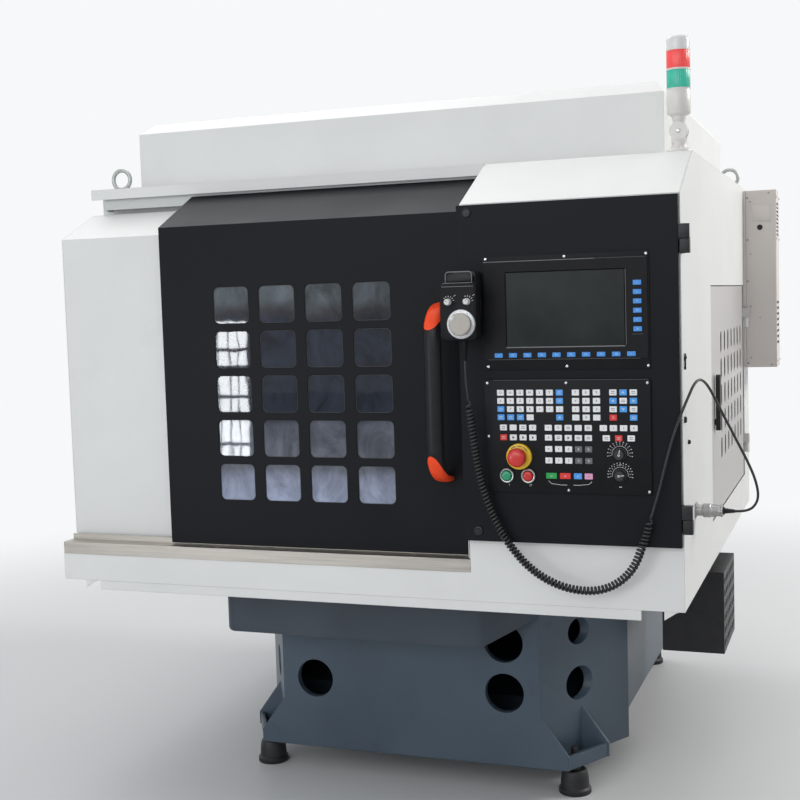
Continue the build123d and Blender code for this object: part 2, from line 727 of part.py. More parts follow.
with BuildPart() as keypad:
    slab(unit_left, unit_right, unit_face, panel_face, keypad_bottom, keypad_top)
    fillet(keypad.edges().filter_by(Axis.Y), 5)
    slab(unit_left + cut_margin + 1, unit_right - cut_margin - 1, panel_face, front + 22,
         keypad_bottom + cut_margin + 1, keypad_top - cut_margin - 1)
    for key_x, key_z in key_places:
        slab(key_x - key_width / 2, key_x + key_width / 2, unit_face - key_rise, unit_face,
             key_z - key_height / 2, key_z + key_height / 2)
    for key_x, wide in ((283, 24), (252, 24), (224, 18), (200, 18)):
        slab(right - key_x - wide / 2, right - key_x + wide / 2, unit_face - key_rise, unit_face,
             cycle_row - key_height / 2, cycle_row + key_height / 2)
    for bore_x, bore_z, bore in ((355, 890, 11), (384, 847, 11), (335, 847, 11), (131, 898, 6),
                                 (131, 852, 6)):
        rod_y(right - bore_x, unit_face - 1, front + 23, bore_z, bore + clearance,
              mode=Mode.SUBTRACT)
save(keypad.part, "keypad")

# Emergency stop: yellow collar and red mushroom button
stop_x = right - 355
stop_z = 890
collar_radius = 29
with BuildPart() as estop_ring:
    rod_y(stop_x, unit_face - 8, unit_face, stop_z, collar_radius)
    fillet(estop_ring.edges().group_by(Axis.Y)[0], 3)
    rod_y(stop_x, unit_face - 9, unit_face + 1, stop_z, 11 + clearance, mode=Mode.SUBTRACT)
save(estop_ring.part, "estop_ring")

with BuildPart() as estop_button:
    rod_y(stop_x, unit_face - 38, unit_face - 16, stop_z, 21)
    fillet(estop_button.edges().group_by(Axis.Y)[0], 7)
    rod_y(stop_x, unit_face - 16, front - panel_gap, stop_z, 11)
save(estop_button.part, "estop_button")

# Start and stop buttons in their bezels
start_x = right - 384
halt_x = right - 335
button_z = 847
bezel_radius = 17
with BuildPart() as button_bezels:
    for button_x in (start_x, halt_x):
        rod_y(button_x, unit_face - 7, unit_face, button_z, bezel_radius)
        rod_y(button_x, unit_face - 8, unit_face + 1, button_z, 11 + clearance,
              mode=Mode.SUBTRACT)
save(button_bezels.part, "button_bezels")

for button_name, button_x in (("start_button", start_x), ("stop_button", halt_x)):
    with BuildPart() as button:
        rod_y(button_x, unit_face - 11, front - panel_gap, button_z, 11)
        fillet(button.edges().group_by(Axis.Y)[0], 1.5)
    save(button.part, button_name)

# Override dials
dial_x = right - 131
for dial_name, dial_z in (("feed_dial", 898), ("spindle_dial", 852)):
    with BuildPart() as dial:
        rod_y(dial_x, unit_face - 16, unit_face - 0.6, dial_z, 13)
        chamfer(dial.edges().group_by(Axis.Y)[0], 1.5)
        rod_y(dial_x, unit_face - 1, front - panel_gap, dial_z, 6)
        slab(dial_x - 1, dial_x + 1, unit_face - 17, unit_face - 15, dial_z + 4, dial_z + 14,
             mode=Mode.SUBTRACT)
    save(dial.part, dial_name)

# Pendant holder and pendant
holder_left = pendant_centre - 31
holder_right = pendant_centre + 31
pendant_top = pendant_bottom + pendant_height
with BuildPart() as pendant_holder:
    slab(pendant_centre - 23, holder_right, panel_face - 3, panel_face, pendant_top - 80,
         pendant_top + 24)
    slab(pendant_centre - 23, holder_right, pendant_back, panel_face, pendant_top - 40,
         pendant_top + 24)
    slab(holder_left, holder_right, pendant_front + 10, pendant_back, pendant_top + clearance,
         pendant_top + 24)
save(pendant_holder.part, "pendant_holder")

wheel_x = pendant_centre + 8
wheel_z = pendant_bottom + 37
knob_z = pendant_bottom + 86
relief_x = wheel_x
relief_y = (pendant_back + pendant_front) / 2
relief_length = 43
with BuildPart() as pendant_body:
    slab(pendant_centre - pendant_width / 2, pendant_centre + pendant_width / 2, pendant_front,
         pendant_back, pendant_bottom, pendant_top)
    fillet(pendant_body.edges().filter_by(Axis.Y), 12)
    fillet(pendant_body.edges().group_by(Axis.Y)[0], 4)
    for bore_x, bore_z in ((wheel_x, wheel_z), (pendant_centre - 21, knob_z),
                           (pendant_centre + 22, knob_z)):
        rod_y(bore_x, pendant_front - 1, pendant_front + 20, bore_z, 4 + bore_clearance,
              mode=Mode.SUBTRACT)
    with Locations(Location((relief_x, relief_y, pendant_bottom - relief_length))):
        Cone(4, 8, relief_length + 1, align=(Align.CENTER, Align.CENTER, Align.MIN))
save(pendant_body.part, "pendant_body")

with BuildPart() as handwheel:
    rod_y(wheel_x, pendant_front - 7, pendant_front - 0.6, wheel_z, wheel_radius)
    rod_y(wheel_x, pendant_front - wheel_disc_stand, pendant_front - 7, wheel_z, wheel_disc_radius)
    fillet(handwheel.edges().group_by(Axis.Y)[0], 2)
    rod_y(wheel_x, pendant_front - 1, pendant_front + 18, wheel_z, 4)
    rod_y(wheel_x - 17, front - front_reach, pendant_front - 15, wheel_z + 13, 5.5)
save(handwheel.part, "handwheel")

for knob_name, knob_x in (("axis_knob", pendant_centre - 21), ("step_knob", pendant_centre + 22)):
    with BuildPart() as knob:
        rod_y(knob_x, pendant_front - 14, pendant_front - 0.6, knob_z, 7.5)
        chamfer(knob.edges().group_by(Axis.Y)[0], 1)
        rod_y(knob_x, pendant_front - 1, pendant_front + 18, knob_z, 4)
        slab(knob_x - 0.8, knob_x + 0.8, pendant_front - 15, pendant_front - 13, knob_z,
             knob_z + 8, mode=Mode.SUBTRACT)
    save(knob.part, knob_name)

# Panel socket on the right side and the plug of the pendant cord
socket_y = front + 194
socket_z = 743
with BuildPart() as panel_socket:
    slab(right, right + 3, socket_y - 17, socket_y + 17, socket_z - 17, socket_z + 17)
    rod_x(right + 3, right + 16, socket_y, socket_z, 13)
save(panel_socket.part, "panel_socket")

plug_end = right + 62
boot_end = right + 90
with BuildPart() as cord_plug:
    rod_x(right + 16, plug_end, socket_y, socket_z, 14)
    rod_x(right + 18, right + 34, socket_y, socket_z, 16)
    rod_x(plug_end - 4, boot_end, socket_y, socket_z, 6)
save(cord_plug.part, "cord_plug")

# Pendant cord: straight lead, curly stretch as one fat tube, and plain tail
lead_diameter = 6
curl_diameter = 20


def route_tube(route, diameter):
    """Sweep a round section along straight runs joined by tangent arcs."""
    points = [Vector(*p) for p in route]
    radii = []
    for before, corner, after in zip(points, points[1:], points[2:]):
        turn = math.radians((corner - before).get_angle(after - corner))
        shorter = min((corner - before).length, (after - corner).length)
        radii.append(0.45 * shorter / math.tan(turn / 2))
    with BuildLine() as path:
        FilletPolyline(*points, radius=radii)
    start = Plane(origin=points[0], z_dir=points[1] - points[0])
    with BuildPart() as tube:
        with BuildSketch(start):
            Circle(diameter / 2)
        sweep(path=path.wires()[0])
    expected = math.pi * (diameter / 2) ** 2 * path.wires()[0].length
    print("radii", [round(r) for r in radii], "volume ratio", round(tube.part.volume / expected, 4))
    return tube.part


cord_y = front - 41
lead_end = pendant_bottom - relief_length
lead_route = [
    (relief_x, relief_y, lead_end),
    (relief_x, relief_y, lead_end - 38),
    (relief_x + 2, relief_y + 6, lead_end - 76),
]
curl_route = [
    lead_route[-1],
    (relief_x + 8, relief_y + 24, lead_end - 190),
    (right - 441, front - 48, 839),
    (right - 417, cord_y, 760),
    (right - 379, cord_y, 690),
    (right - 322, cord_y, 630),
    (right - 246, cord_y, 597),
    (right - 166, cord_y, 598),
    (right - 104, cord_y, 643),
    (right - 78, cord_y, 716),
    (right - 60, cord_y, 776),
]
tail_route = [
    curl_route[-1],
    (right - 45, cord_y, 826),
    (right - 31, cord_y + 4, 886),
    (right - 13, cord_y + 5, 950),
    (right + 12, cord_y + 8, 1012),
    (right + 29, front + 8, 1059),
    (right + 44, front + 56, 1048),
    (right + 68, front + 98, 985),
    (right + 100, front + 140, 908),
    (right + 130, front + 174, 836),
    (right + 141, front + 188, 788),
    (right + 136, socket_y - 2, 761),
    (right + 116, socket_y, socket_z),
    (boot_end, socket_y, socket_z),
]
cord_lead = route_tube(lead_route, lead_diameter)
save(cord_lead, "cord_lead")
cord_curl = route_tube(curl_route, curl_diameter)
save(cord_curl, "cord_curl")
cord_tail = route_tube(tail_route, lead_diameter)
save(cord_tail, "cord_tail")

# Side door with its slots, set just inside the side sheet and hinged at the rear edge
side_door_back = side_door_face - side_door_depth
slot_centre_y = front + 1055
slot_centre_z = 960
latch_y = side_door_front + 90
latch_z = 952
with BuildPart() as side_door:
    slab(side_door_back, side_door_face, side_door_front, side_door_rear, side_door_bottom,
         side_door_top)
    slab(side_door_back - 1, side_door_face - sheet, side_door_front + sheet,
         side_door_rear - sheet, side_door_bottom + sheet, side_door_top - sheet,
         mode=Mode.SUBTRACT)
    with BuildSketch(Plane.YZ.offset(side_door_face - sheet - 1)):
        with Locations((slot_centre_y, slot_centre_z)):
            with GridLocations(slot_pitch_y, slot_pitch_z, slot_columns, slot_rows):
                SlotOverall(slot_length, slot_width, rotation=90)
    extrude(amount=sheet + 2, mode=Mode.SUBTRACT)
    rod_x(side_door_face - sheet - 1, side_door_face + 1, latch_y, latch_z - 50, 8 + clearance,
          mode=Mode.SUBTRACT)
    for hinge_z in side_hinge_heights:
        rod_z(side_hinge_x, side_hinge_y, hinge_z, hinge_z + side_hinge_half, side_hinge_radius)
        slab(side_door_face - 1, side_hinge_x + 3, side_door_rear - 4, side_door_rear, hinge_z,
             hinge_z + side_hinge_half)
        slab(side_hinge_x - 3, side_hinge_x + 3, side_door_rear - 4, side_hinge_y, hinge_z,
             hinge_z + side_hinge_half)
        rod_z(side_hinge_x, side_hinge_y, hinge_z - 1, hinge_z + side_hinge_half - 5,
              3 + bore_clearance, mode=Mode.SUBTRACT)
save(side_door.part, "side_door")

with BuildPart() as side_latch:
    rod_x(side_door_back + 1, right + 4, latch_y, latch_z - 50, 8)
    slab(right + 1, right + 12, latch_y - 14, latch_y + 14, latch_z - 70, latch_z + 74)
    fillet(side_latch.edges().filter_by(Axis.X).group_by(Axis.Z)[-1], 10)
    slab(side_door_back + 1, side_door_back + 4, latch_y - 10, latch_y + 10, latch_z - 80,
         latch_z - 40)
save(side_latch.part, "side_latch")

# Heat exchanger on the right side at the rear
exchanger_front = front + 1426
exchanger_bottom = 997
exchanger_top = 1552
with BuildPart() as heat_exchanger:
    slab(right, right + exchanger_reach, exchanger_front, rear - 5, exchanger_bottom,
         exchanger_top)
    slab(right - 1, right + exchanger_reach - sheet, exchanger_front + sheet, rear - 5 - sheet,
         exchanger_bottom + sheet, exchanger_top - sheet, mode=Mode.SUBTRACT)
    with BuildSketch(Plane.YZ.offset(right + exchanger_reach - sheet - 1)):
        with Locations(((exchanger_front + rear - 5) / 2, exchanger_top - 90)):
            with GridLocations(1, 12, 1, 9):
                SlotOverall(86, 6)
        with Locations(((exchanger_front + rear - 5) / 2, exchanger_bottom + 140)):
            with GridLocations(1, 18, 1, 8):
                SlotOverall(86, 8)
    extrude(amount=sheet + 2, mode=Mode.SUBTRACT)
save(heat_exchanger.part, "heat_exchanger")

# Perforated transformer box hung under the floor on two straps
box_left = right - 142
box_right = right + 18
box_front = front + 600
box_rear = front + 862
box_bottom = 295
box_top = 511
with BuildPart() as transformer_box:
    slab(box_left, box_right, box_front, box_rear, box_bottom, box_top)
    slab(box_left + sheet, box_right - sheet, box_front + sheet, box_rear - sheet,
         box_bottom + sheet, box_top - sheet, mode=Mode.SUBTRACT)
    with BuildSketch(Plane.YZ.offset(box_right - sheet - 1)):
        with Locations(((box_front + box_rear) / 2, (box_bottom + box_top) / 2)):
            with GridLocations(36, 33, 7, 6):
                Circle(10)
    extrude(amount=sheet + 2, mode=Mode.SUBTRACT)
    for strap_y in (box_front + 20, box_rear - 50):
        slab(box_left + 20, right - 20, strap_y, strap_y + 30, box_top - sheet, box_top + 3)
        slab(right - 60, right - 56, strap_y, strap_y + 30, box_top, skirt_bottom)
        slab(box_left + 24, box_left + 28, strap_y, strap_y + 30, box_top, skirt_bottom)
save(transformer_box.part, "transformer_box")

# Tower light: foot, swivel body, two lenses and a clear cap
body_bottom = swivel_height + body_rise
body_top = body_bottom + body_height
green_top = body_top + green_height
red_top = green_top + red_height
cap_top = red_top + cap_height
cheek = 8
with BuildPart() as lamp_foot:
    rod_z(lamp_x, lamp_y, roof_top, roof_top + 12, 30)
    fillet(lamp_foot.edges().group_by(Axis.Z)[-1], 5)
    rod_z(lamp_x, lamp_y, roof_top + 6, swivel_height - 12, 17)
    rod_y(lamp_x, lamp_y - 14, lamp_y + 14, swivel_height, 21)
    slab(lamp_x - 30, lamp_x + 30, lamp_y - cheek, lamp_y + cheek, swivel_height - 22 - clearance,
         swivel_height + 40, mode=Mode.SUBTRACT)
    rod_y(lamp_x, lamp_y - 15, lamp_y + 15, swivel_height, 5, mode=Mode.SUBTRACT)
save(lamp_foot.part, "lamp_foot")

with BuildPart() as lamp_body:
    rod_y(lamp_x, lamp_y - cheek + clearance, lamp_y + cheek - clearance, swivel_height, 20)
    rod_y(lamp_x, lamp_y - 15, lamp_y + 15, swivel_height, 5 - bore_clearance)
    slab(lamp_x - 12, lamp_x + 12, lamp_y - cheek + clearance, lamp_y + cheek - clearance,
         swivel_height, body_bottom - 10)
    with Locations((lamp_x, lamp_y, swivel_height + 22)):
        Cone(14, 20, body_bottom - swivel_height - 22,
             align=(Align.CENTER, Align.CENTER, Align.MIN))
    rod_z(lamp_x, lamp_y, body_bottom, body_top, lamp_radius)
save(lamp_body.part, "lamp_body")

for lens_name, lens_bottom, lens_top in (("green_lens", body_top, green_top),
                                         ("red_lens", green_top, red_top)):
    with BuildPart() as lens:
        rod_z(lamp_x, lamp_y, lens_bottom, lens_top, lamp_radius - 1)
        rod_z(lamp_x, lamp_y, lens_top - 3, lens_top, lamp_radius)
    save(lens.part, lens_name)

with BuildPart() as lamp_cap:
    rod_z(lamp_x, lamp_y, red_top, cap_top, lamp_radius - 1)
    fillet(lamp_cap.edges().group_by(Axis.Z)[-1], 10)
save(lamp_cap.part, "lamp_cap")

# Gantry: two columns on the bed and the bridge across them
bed_top = skirt_bottom + bed_height
bridge_rear = bridge_front + bridge_depth
bridge_top = bridge_bottom + bridge_height
bridge_half = bed_width / 2
bearing_depth = 60
x_screw_y = bridge_front - 24
x_bearing = bridge_half - 22
with BuildPart() as gantry_frame:
    for side in (-1, 1):
        column_x = base_centre + side * (bridge_half - column_width / 2)
        slab(column_x - column_width / 2, column_x + column_width / 2, bridge_front - 20,
             bridge_rear + 60, bed_top, bridge_bottom)
        slab(base_centre + side * (x_bearing - 18), base_centre + side * (x_bearing + 18),
             bridge_front - bearing_depth, bridge_front, x_screw_z - 32, x_screw_z + 32)
        rod_x(base_centre + side * (x_bearing - 19), base_centre + side * (x_bearing + 19),
              x_screw_y, x_screw_z, screw_radius + bore_clearance, mode=Mode.SUBTRACT)
    slab(base_centre - bridge_half, base_centre + bridge_half, bridge_front, bridge_rear,
         bridge_bottom, bridge_top)
    slab(base_centre - bridge_half + column_width, base_centre + bridge_half - column_width,
         bridge_front + 25, bridge_rear - 25, bridge_bottom + 25, bridge_top + 1,
         mode=Mode.SUBTRACT)
save(gantry_frame.part, "gantry_frame")

# Guide rails of the table and of the cross carriage
x_rail_heights = (bridge_bottom + 30, bridge_top - 30)
rail_front_y = bed_front + 10
rail_rear_y = bed_rear - 20
x_rail_half = x_bearing - 30
with BuildPart() as guide_rails:
    for side in (-1, 1):
        rail_x = base_centre + side * rail_spacing / 2
        slab(rail_x - rail_width / 2, rail_x + rail_width / 2, rail_front_y, rail_rear_y,
             bed_top, bed_top + rail_height)
    for rail_z in x_rail_heights:
        slab(base_centre - x_rail_half, base_centre + x_rail_half, bridge_front - rail_height,
             bridge_front, rail_z - rail_width / 2, rail_z + rail_width / 2)
save(guide_rails.part, "guide_rails")

# Work table: slotted plate on four bearing blocks, with the nut of its screw
block_width = 60
block_length = 80
table_bottom = table_top - table_thickness
t_slots = 5
t_slot_pitch = 110
nut_half = 28
with BuildPart() as work_table:
    slab(base_centre - table_width / 2, base_centre + table_width / 2, table_y - table_depth / 2,
         table_y + table_depth / 2, table_bottom, table_top)
    for i in range(t_slots):
        slot_x = base_centre + (i - (t_slots - 1) / 2) * t_slot_pitch
        slab(slot_x - 6, slot_x + 6, table_y - table_depth, table_y + table_depth,
             table_top - 12, table_top + 1, mode=Mode.SUBTRACT)
        slab(slot_x - 11, slot_x + 11, table_y - table_depth, table_y + table_depth,
             table_top - 20, table_top - 12, mode=Mode.SUBTRACT)
    for side in (-1, 1):
        rail_x = base_centre + side * rail_spacing / 2
        for block_y in (table_y - table_depth / 4, table_y + table_depth / 4):
            slab(rail_x - block_width / 2, rail_x + block_width / 2, block_y - block_length / 2,
                 block_y + block_length / 2, bed_top + 5, table_bottom)
            slab(rail_x - rail_width / 2 - clearance, rail_x + rail_width / 2 + clearance,
                 block_y - block_length, block_y + block_length, bed_top,
                 bed_top + rail_height + clearance, mode=Mode.SUBTRACT)
    slab(base_centre - nut_half, base_centre + nut_half, table_y - 30, table_y + 30,
         y_screw_z - nut_half, table_bottom)
    rod_y(base_centre, table_y - 31, table_y + 31, y_screw_z, screw_radius + bore_clearance,
          mode=Mode.SUBTRACT)
save(work_table.part, "work_table")

with BuildPart() as y_screw:
    rod_y(base_centre, y_screw_front - 40, y_screw_rear + 40, y_screw_z, screw_radius)
save(y_screw.part, "y_screw")

# Cross carriage on the bridge rails
carriage_half = 100
carriage_back = bridge_front - rail_height - 10
carriage_front = carriage_back - 28
with BuildPart() as x_carriage:
    slab(base_centre - carriage_half, base_centre + carriage_half, carriage_front, carriage_back,
         bridge_bottom + 2, bridge_top - 2)
    for rail_z in x_rail_heights:
        slab(base_centre - carriage_half + 10, base_centre + carriage_half - 10, carriage_back,
             bridge_front - 4, rail_z - 24, rail_z + 24)
        slab(base_centre - carriage_half, base_centre + carriage_half,
             bridge_front - rail_height - clearance, bridge_front,
             rail_z - rail_width / 2 - clearance, rail_z + rail_width / 2 + clearance,
             mode=Mode.SUBTRACT)
    slab(base_centre - 30, base_centre + 30, carriage_back, bridge_front - 4,
         x_screw_z - 22, x_screw_z + 22)
    rod_x(base_centre - carriage_half - 1, base_centre + carriage_half + 1, x_screw_y, x_screw_z,
          screw_radius + bore_clearance, mode=Mode.SUBTRACT)
    for side in (-1, 1):
        z_rail_x = base_centre + side * 70
        slab(z_rail_x - 9, z_rail_x + 9, carriage_front - 18, carriage_front, bridge_bottom + 2,
             bridge_top + 118)
save(x_carriage.part, "x_carriage")

with BuildPart() as x_screw:
    rod_x(base_centre - x_bearing - 18, base_centre + x_bearing + 40, x_screw_y, x_screw_z,
          screw_radius)
save(x_screw.part, "x_screw")

# Spindle head on the vertical rails, and the turning spindle with its tool
head_back = carriage_front - 22
head_front = head_back - 24
head_bottom = 985
head_top = 1310
spindle_bore = 16
tool_radius = 3
with BuildPart() as z_head:
    slab(base_centre - 95, base_centre + 95, head_front, head_back, head_bottom, head_top)
    for side in (-1, 1):
        z_rail_x = base_centre + side * 70
        for block_z in (bridge_bottom + 120, bridge_top + 50):
            slab(z_rail_x - 20, z_rail_x + 20, head_back, carriage_front - 4, block_z - 30,
                 block_z + 30)
            slab(z_rail_x - 9 - clearance, z_rail_x + 9 + clearance,
                 carriage_front - 18 - clearance, carriage_front, block_z - 31, block_z + 31,
                 mode=Mode.SUBTRACT)
    slab(base_centre - 52, base_centre + 52, spindle_y, head_front, head_bottom + 30,
         head_bottom + 190)
    rod_z(base_centre, spindle_y, head_bottom - 25, head_bottom + 235, spindle_radius)
    rod_z(base_centre, spindle_y, head_bottom - 26, head_bottom + 120,
          spindle_bore + bore_clearance, mode=Mode.SUBTRACT)
save(z_head.part, "z_head")

with BuildPart() as spindle_rotor:
    rod_z(base_centre, spindle_y, head_bottom - 60, head_bottom + 115, spindle_bore)
    with Locations((base_centre, spindle_y, head_bottom - 80)):
        Cone(9, spindle_bore, 21, align=(Align.CENTER, Align.CENTER, Align.MIN))
    rod_z(base_centre, spindle_y, head_bottom - 125, head_bottom - 79, tool_radius)
save(spindle_rotor.part, "spindle_rotor")
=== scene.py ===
import bpy
import bmesh
import json
import math
from mathutils import Matrix, Vector, noise


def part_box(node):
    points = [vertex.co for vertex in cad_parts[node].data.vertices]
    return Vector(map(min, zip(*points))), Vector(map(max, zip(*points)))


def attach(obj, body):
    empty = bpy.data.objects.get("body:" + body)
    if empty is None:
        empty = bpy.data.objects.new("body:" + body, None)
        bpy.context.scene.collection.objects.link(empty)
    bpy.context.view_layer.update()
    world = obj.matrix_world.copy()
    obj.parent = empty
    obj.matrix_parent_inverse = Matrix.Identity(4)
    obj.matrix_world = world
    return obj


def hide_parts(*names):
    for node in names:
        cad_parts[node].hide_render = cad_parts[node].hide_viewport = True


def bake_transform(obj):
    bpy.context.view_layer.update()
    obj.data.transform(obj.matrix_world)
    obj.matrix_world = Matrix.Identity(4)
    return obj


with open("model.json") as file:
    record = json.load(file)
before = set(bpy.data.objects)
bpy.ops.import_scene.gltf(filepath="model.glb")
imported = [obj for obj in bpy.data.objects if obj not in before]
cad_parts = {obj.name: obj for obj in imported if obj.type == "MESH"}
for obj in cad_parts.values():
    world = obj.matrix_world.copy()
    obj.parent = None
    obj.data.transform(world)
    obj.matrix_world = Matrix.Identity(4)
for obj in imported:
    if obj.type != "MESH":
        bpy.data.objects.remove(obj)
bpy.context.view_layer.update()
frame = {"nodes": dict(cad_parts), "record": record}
scene = bpy.context.scene

# Lengths are in millimetres and repeat part.py's values; MM turns them into metres
MM = 0.001
RIGHT, LEFT = 742.5, -842.5
FRONT, REAR = -721.0, 839.0
ROOF = 1562
PANEL_FACE = FRONT - 20
UNIT_FACE = PANEL_FACE - 6
DOOR_FACE = FRONT + 35


# Node materials

def feed(tree, node, sockets):
    """Sets input sockets to values, or links them to other nodes' outputs."""
    for socket, value in sockets.items():
        if isinstance(value, bpy.types.NodeSocket):
            tree.links.new(value, node.inputs[socket])
        else:
            node.inputs[socket].default_value = value


def add(tree, kind, out, sockets=None, **settings):
    """Adds a shader node, feeds its sockets and gives back the output that is wanted of it."""
    node = tree.nodes.new("ShaderNode" + kind)
    for name, value in settings.items():
        setattr(node, name, value)
    feed(tree, node, sockets or {})
    return node.outputs[out]


def ramp(tree, factor, *stops):
    """Colours along a factor, each stop a position and a colour."""
    node = tree.nodes.new("ShaderNodeValToRGB")
    tree.links.new(factor, node.inputs["Fac"])
    elements = node.color_ramp.elements
    for element, (at, shade) in zip(elements, (stops[0], stops[-1])):
        element.position = at
        element.color = (*shade, 1)
    for at, shade in stops[1:-1]:
        elements.new(at).color = (*shade, 1)
    return node.outputs["Color"]


M = {}


def material(name, base, rough, vary=0.05, scale=6.0, grain=0.0, grain_scale=700.0, edge=0.0,
             metal=0.0, stretch=(1, 1, 1), rough_vary=0.06, wear=None, wear_scale=25.0,
             alpha=1.0, coat=0.0, emission=0.0, specular=0.5):
    """A surface whose colour and roughness drift over it, with a fine grain in its relief."""
    M[name] = bpy.data.materials.new(name)
    M[name].use_nodes = True
    tree = M[name].node_tree
    bsdf = tree.nodes["Principled BSDF"]
    coord = add(tree, "TexCoord", "Object")
    mapped = add(tree, "Mapping", "Vector", {"Scale": stretch, "Vector": coord})
    drift = add(tree, "TexNoise", "Fac", {"Scale": scale, "Detail": 5, "Vector": mapped})
    colour = ramp(tree, drift, (0.3, [min(1, c * (1 - vary)) for c in base]),
                  (0.7, [min(1, c * (1 + vary)) for c in base]))
    if wear:
        spots = add(tree, "TexNoise", "Fac", {"Scale": wear_scale, "Detail": 8,
                                              "Roughness": 0.7, "Vector": coord})
        cut = add(tree, "MapRange", "Result", {"Value": spots, "From Min": 0.6, "From Max": 0.78})
        colour = add(tree, "Mix", "Result", {"Factor": cut, "A": colour, "B": (*wear, 1)},
                     data_type="RGBA")
    spread = add(tree, "MapRange", "Result",
                 {"Value": drift, "To Min": max(0.02, rough - rough_vary),
                  "To Max": min(1.0, rough + rough_vary)})
    feed(tree, bsdf, {"Base Color": colour, "Roughness": spread, "Metallic": metal, "Alpha": alpha,
                      "Coat Weight": coat, "Specular IOR Level": specular})
    if emission:
        feed(tree, bsdf, {"Emission Strength": emission, "Emission Color": (*base, 1)})
    relief = {}
    if edge:
        relief["Normal"] = add(tree, "Bevel", "Normal", {"Radius": edge}, samples=4)
    if grain:
        fine = add(tree, "TexNoise", "Fac", {"Scale": grain_scale, "Detail": 3, "Vector": mapped})
        relief["Normal"] = add(tree, "Bump", "Normal", {"Strength": grain, "Distance": 0.001,
                                                        "Height": fine, **relief})
    feed(tree, bsdf, relief)


# Name, colour, roughness, its drift and the drift's scale, grain and its scale, edge radius in m
material("shell_white", (0.70, 0.705, 0.69), 0.42, 0.025, 6, 0.10, 420, 0.0022,
         wear=(0.655, 0.66, 0.64), wear_scale=3.2)
material("side_sheet", (0.50, 0.485, 0.475), 0.36, 0.03, 3, 0.1, 420, 0.0018, metal=0.25)
material("door_black", (0.0085, 0.0092, 0.0115), 0.42, 0.12, 6, 0.16, 520, 0.0022,
         rough_vary=0.07, specular=0.10)
material("base_paint", (0.055, 0.078, 0.105), 0.36, 0.14, 3.5, 0.25, 120, 0.003,
         wear=(0.035, 0.045, 0.055), wear_scale=9, specular=0.3)
material("foot_black", (0.014, 0.014, 0.016), 0.5, 0.25, 40, 0.2, 300, 0.0012, metal=0.3,
         wear=(0.05, 0.048, 0.045), wear_scale=60)
material("sheet_grey", (0.56, 0.58, 0.57), 0.4, 0.06, 6, 0.1, 700, 0.0015)
material("tray_grey", (0.045, 0.058, 0.075), 0.36, 0.15, 5, 0.2, 160, specular=0.3)
material("sill_steel", (0.42, 0.395, 0.36), 0.33, 0.12, 5, 0.12, 60, 0.001, metal=0.9,
         stretch=(1.2, 30, 60), rough_vary=0.1)
material("bright_steel", (0.55, 0.56, 0.57), 0.25, 0.08, 30, 0.08, 300, 0.0006, metal=1.0)
material("eye_steel", (0.42, 0.45, 0.43), 0.38, 0.1, 40, 0.15, 300, metal=0.5)
material("table_iron", (0.30, 0.31, 0.31), 0.35, 0.1, 4, 0.1, 80, 0.001, metal=0.85,
         stretch=(60, 2, 2))
material("casting_paint", (0.42, 0.44, 0.45), 0.45, 0.06, 8, 0.25, 160, 0.002)
material("connector_metal", (0.36, 0.36, 0.355), 0.3, 0.08, 90, 0.1, 700, 0.0004, metal=1.0)
material("exchanger_grey", (0.60, 0.555, 0.525), 0.42, 0.03, 6, 0.12, 420, 0.0018)
material("hinge_black", (0.02, 0.02, 0.022), 0.38, 0.15, 60, 0.2, 500, 0.001, specular=0.25)
material("trim_black", (0.016, 0.016, 0.018), 0.42, 0.2, 30, 0.2, 420, 0.0012, specular=0.25)
material("lock_chrome", (0.022, 0.022, 0.024), 0.3, 0.1, 60, 0.04, specular=0.3)
# Near-black for the painted shade of a keyway
material("painted_hole_shade", (0.004, 0.004, 0.0045), 0.8, 0.2, 20, 0.1)
material("cord_black", (0.012, 0.012, 0.013), 0.45, 0.2, 80, 0.15, 900)
material("grip_black", (0.010, 0.010, 0.012), 0.34, 0.15, 30, 0.12, 650, specular=0.2)
material("grip_orange", (0.90, 0.072, 0.016), 0.38, 0.06, 40, 0.05, 700, specular=0.25)
material("window_smoke", (0.030, 0.034, 0.044), 0.022, 0.35, 5.5, rough_vary=0.004, alpha=0.96,
         specular=0.28)
material("screen_glass", (0.0105, 0.0150, 0.0155), 0.24, 0.45, 9, 0.03, 60, rough_vary=0.05,
         specular=0.2)
material("panel_plastic", (0.009, 0.0092, 0.011), 0.42, 0.12, 25, 0.2, 900, 0.0008,
         specular=0.12)
material("pendant_plastic", (0.0085, 0.0085, 0.010), 0.45, 0.12, 25, 0.2, 900, 0.0006,
         specular=0.14)
# Pale and dim greys for painted highlights along black edges and rims
material("painted_edge_highlight", (0.16, 0.16, 0.165), 0.45, 0.1, 60, 0.05)
material("painted_dim_highlight", (0.05, 0.05, 0.053), 0.45, 0.1, 60, 0.05)
material("key_white", (0.77, 0.78, 0.79), 0.42, 0.03, 120, 0.1, 900)
material("key_blue", (0.045, 0.27, 0.72), 0.4, 0.08, 90, 0.1, 900)
material("key_sky", (0.06, 0.32, 0.80), 0.4, 0.06, 120, 0.1)
material("key_grey", (0.12, 0.125, 0.13), 0.42, 0.05, 120, 0.1)
material("key_red", (0.68, 0.03, 0.025), 0.4, 0.05, 120, 0.1)
material("key_green", (0.01, 0.33, 0.07), 0.4, 0.05, 120, 0.1)
material("key_pink", (0.70, 0.32, 0.50), 0.4, 0.05, 120, 0.1)
material("ink_white", (0.58, 0.58, 0.57), 0.5, 0.06, 200, 0.05)
material("ink_dark", (0.05, 0.05, 0.055), 0.5, 0.1, 200, 0.05)
material("ink_pale", (0.42, 0.62, 0.80), 0.5, 0.06, 200, 0.05)
material("estop_yellow", (0.80, 0.52, 0.015), 0.38, 0.05, 60, 0.08)
material("estop_red", (0.60, 0.022, 0.018), 0.3, 0.06, 50, 0.05, 600, coat=0.2)
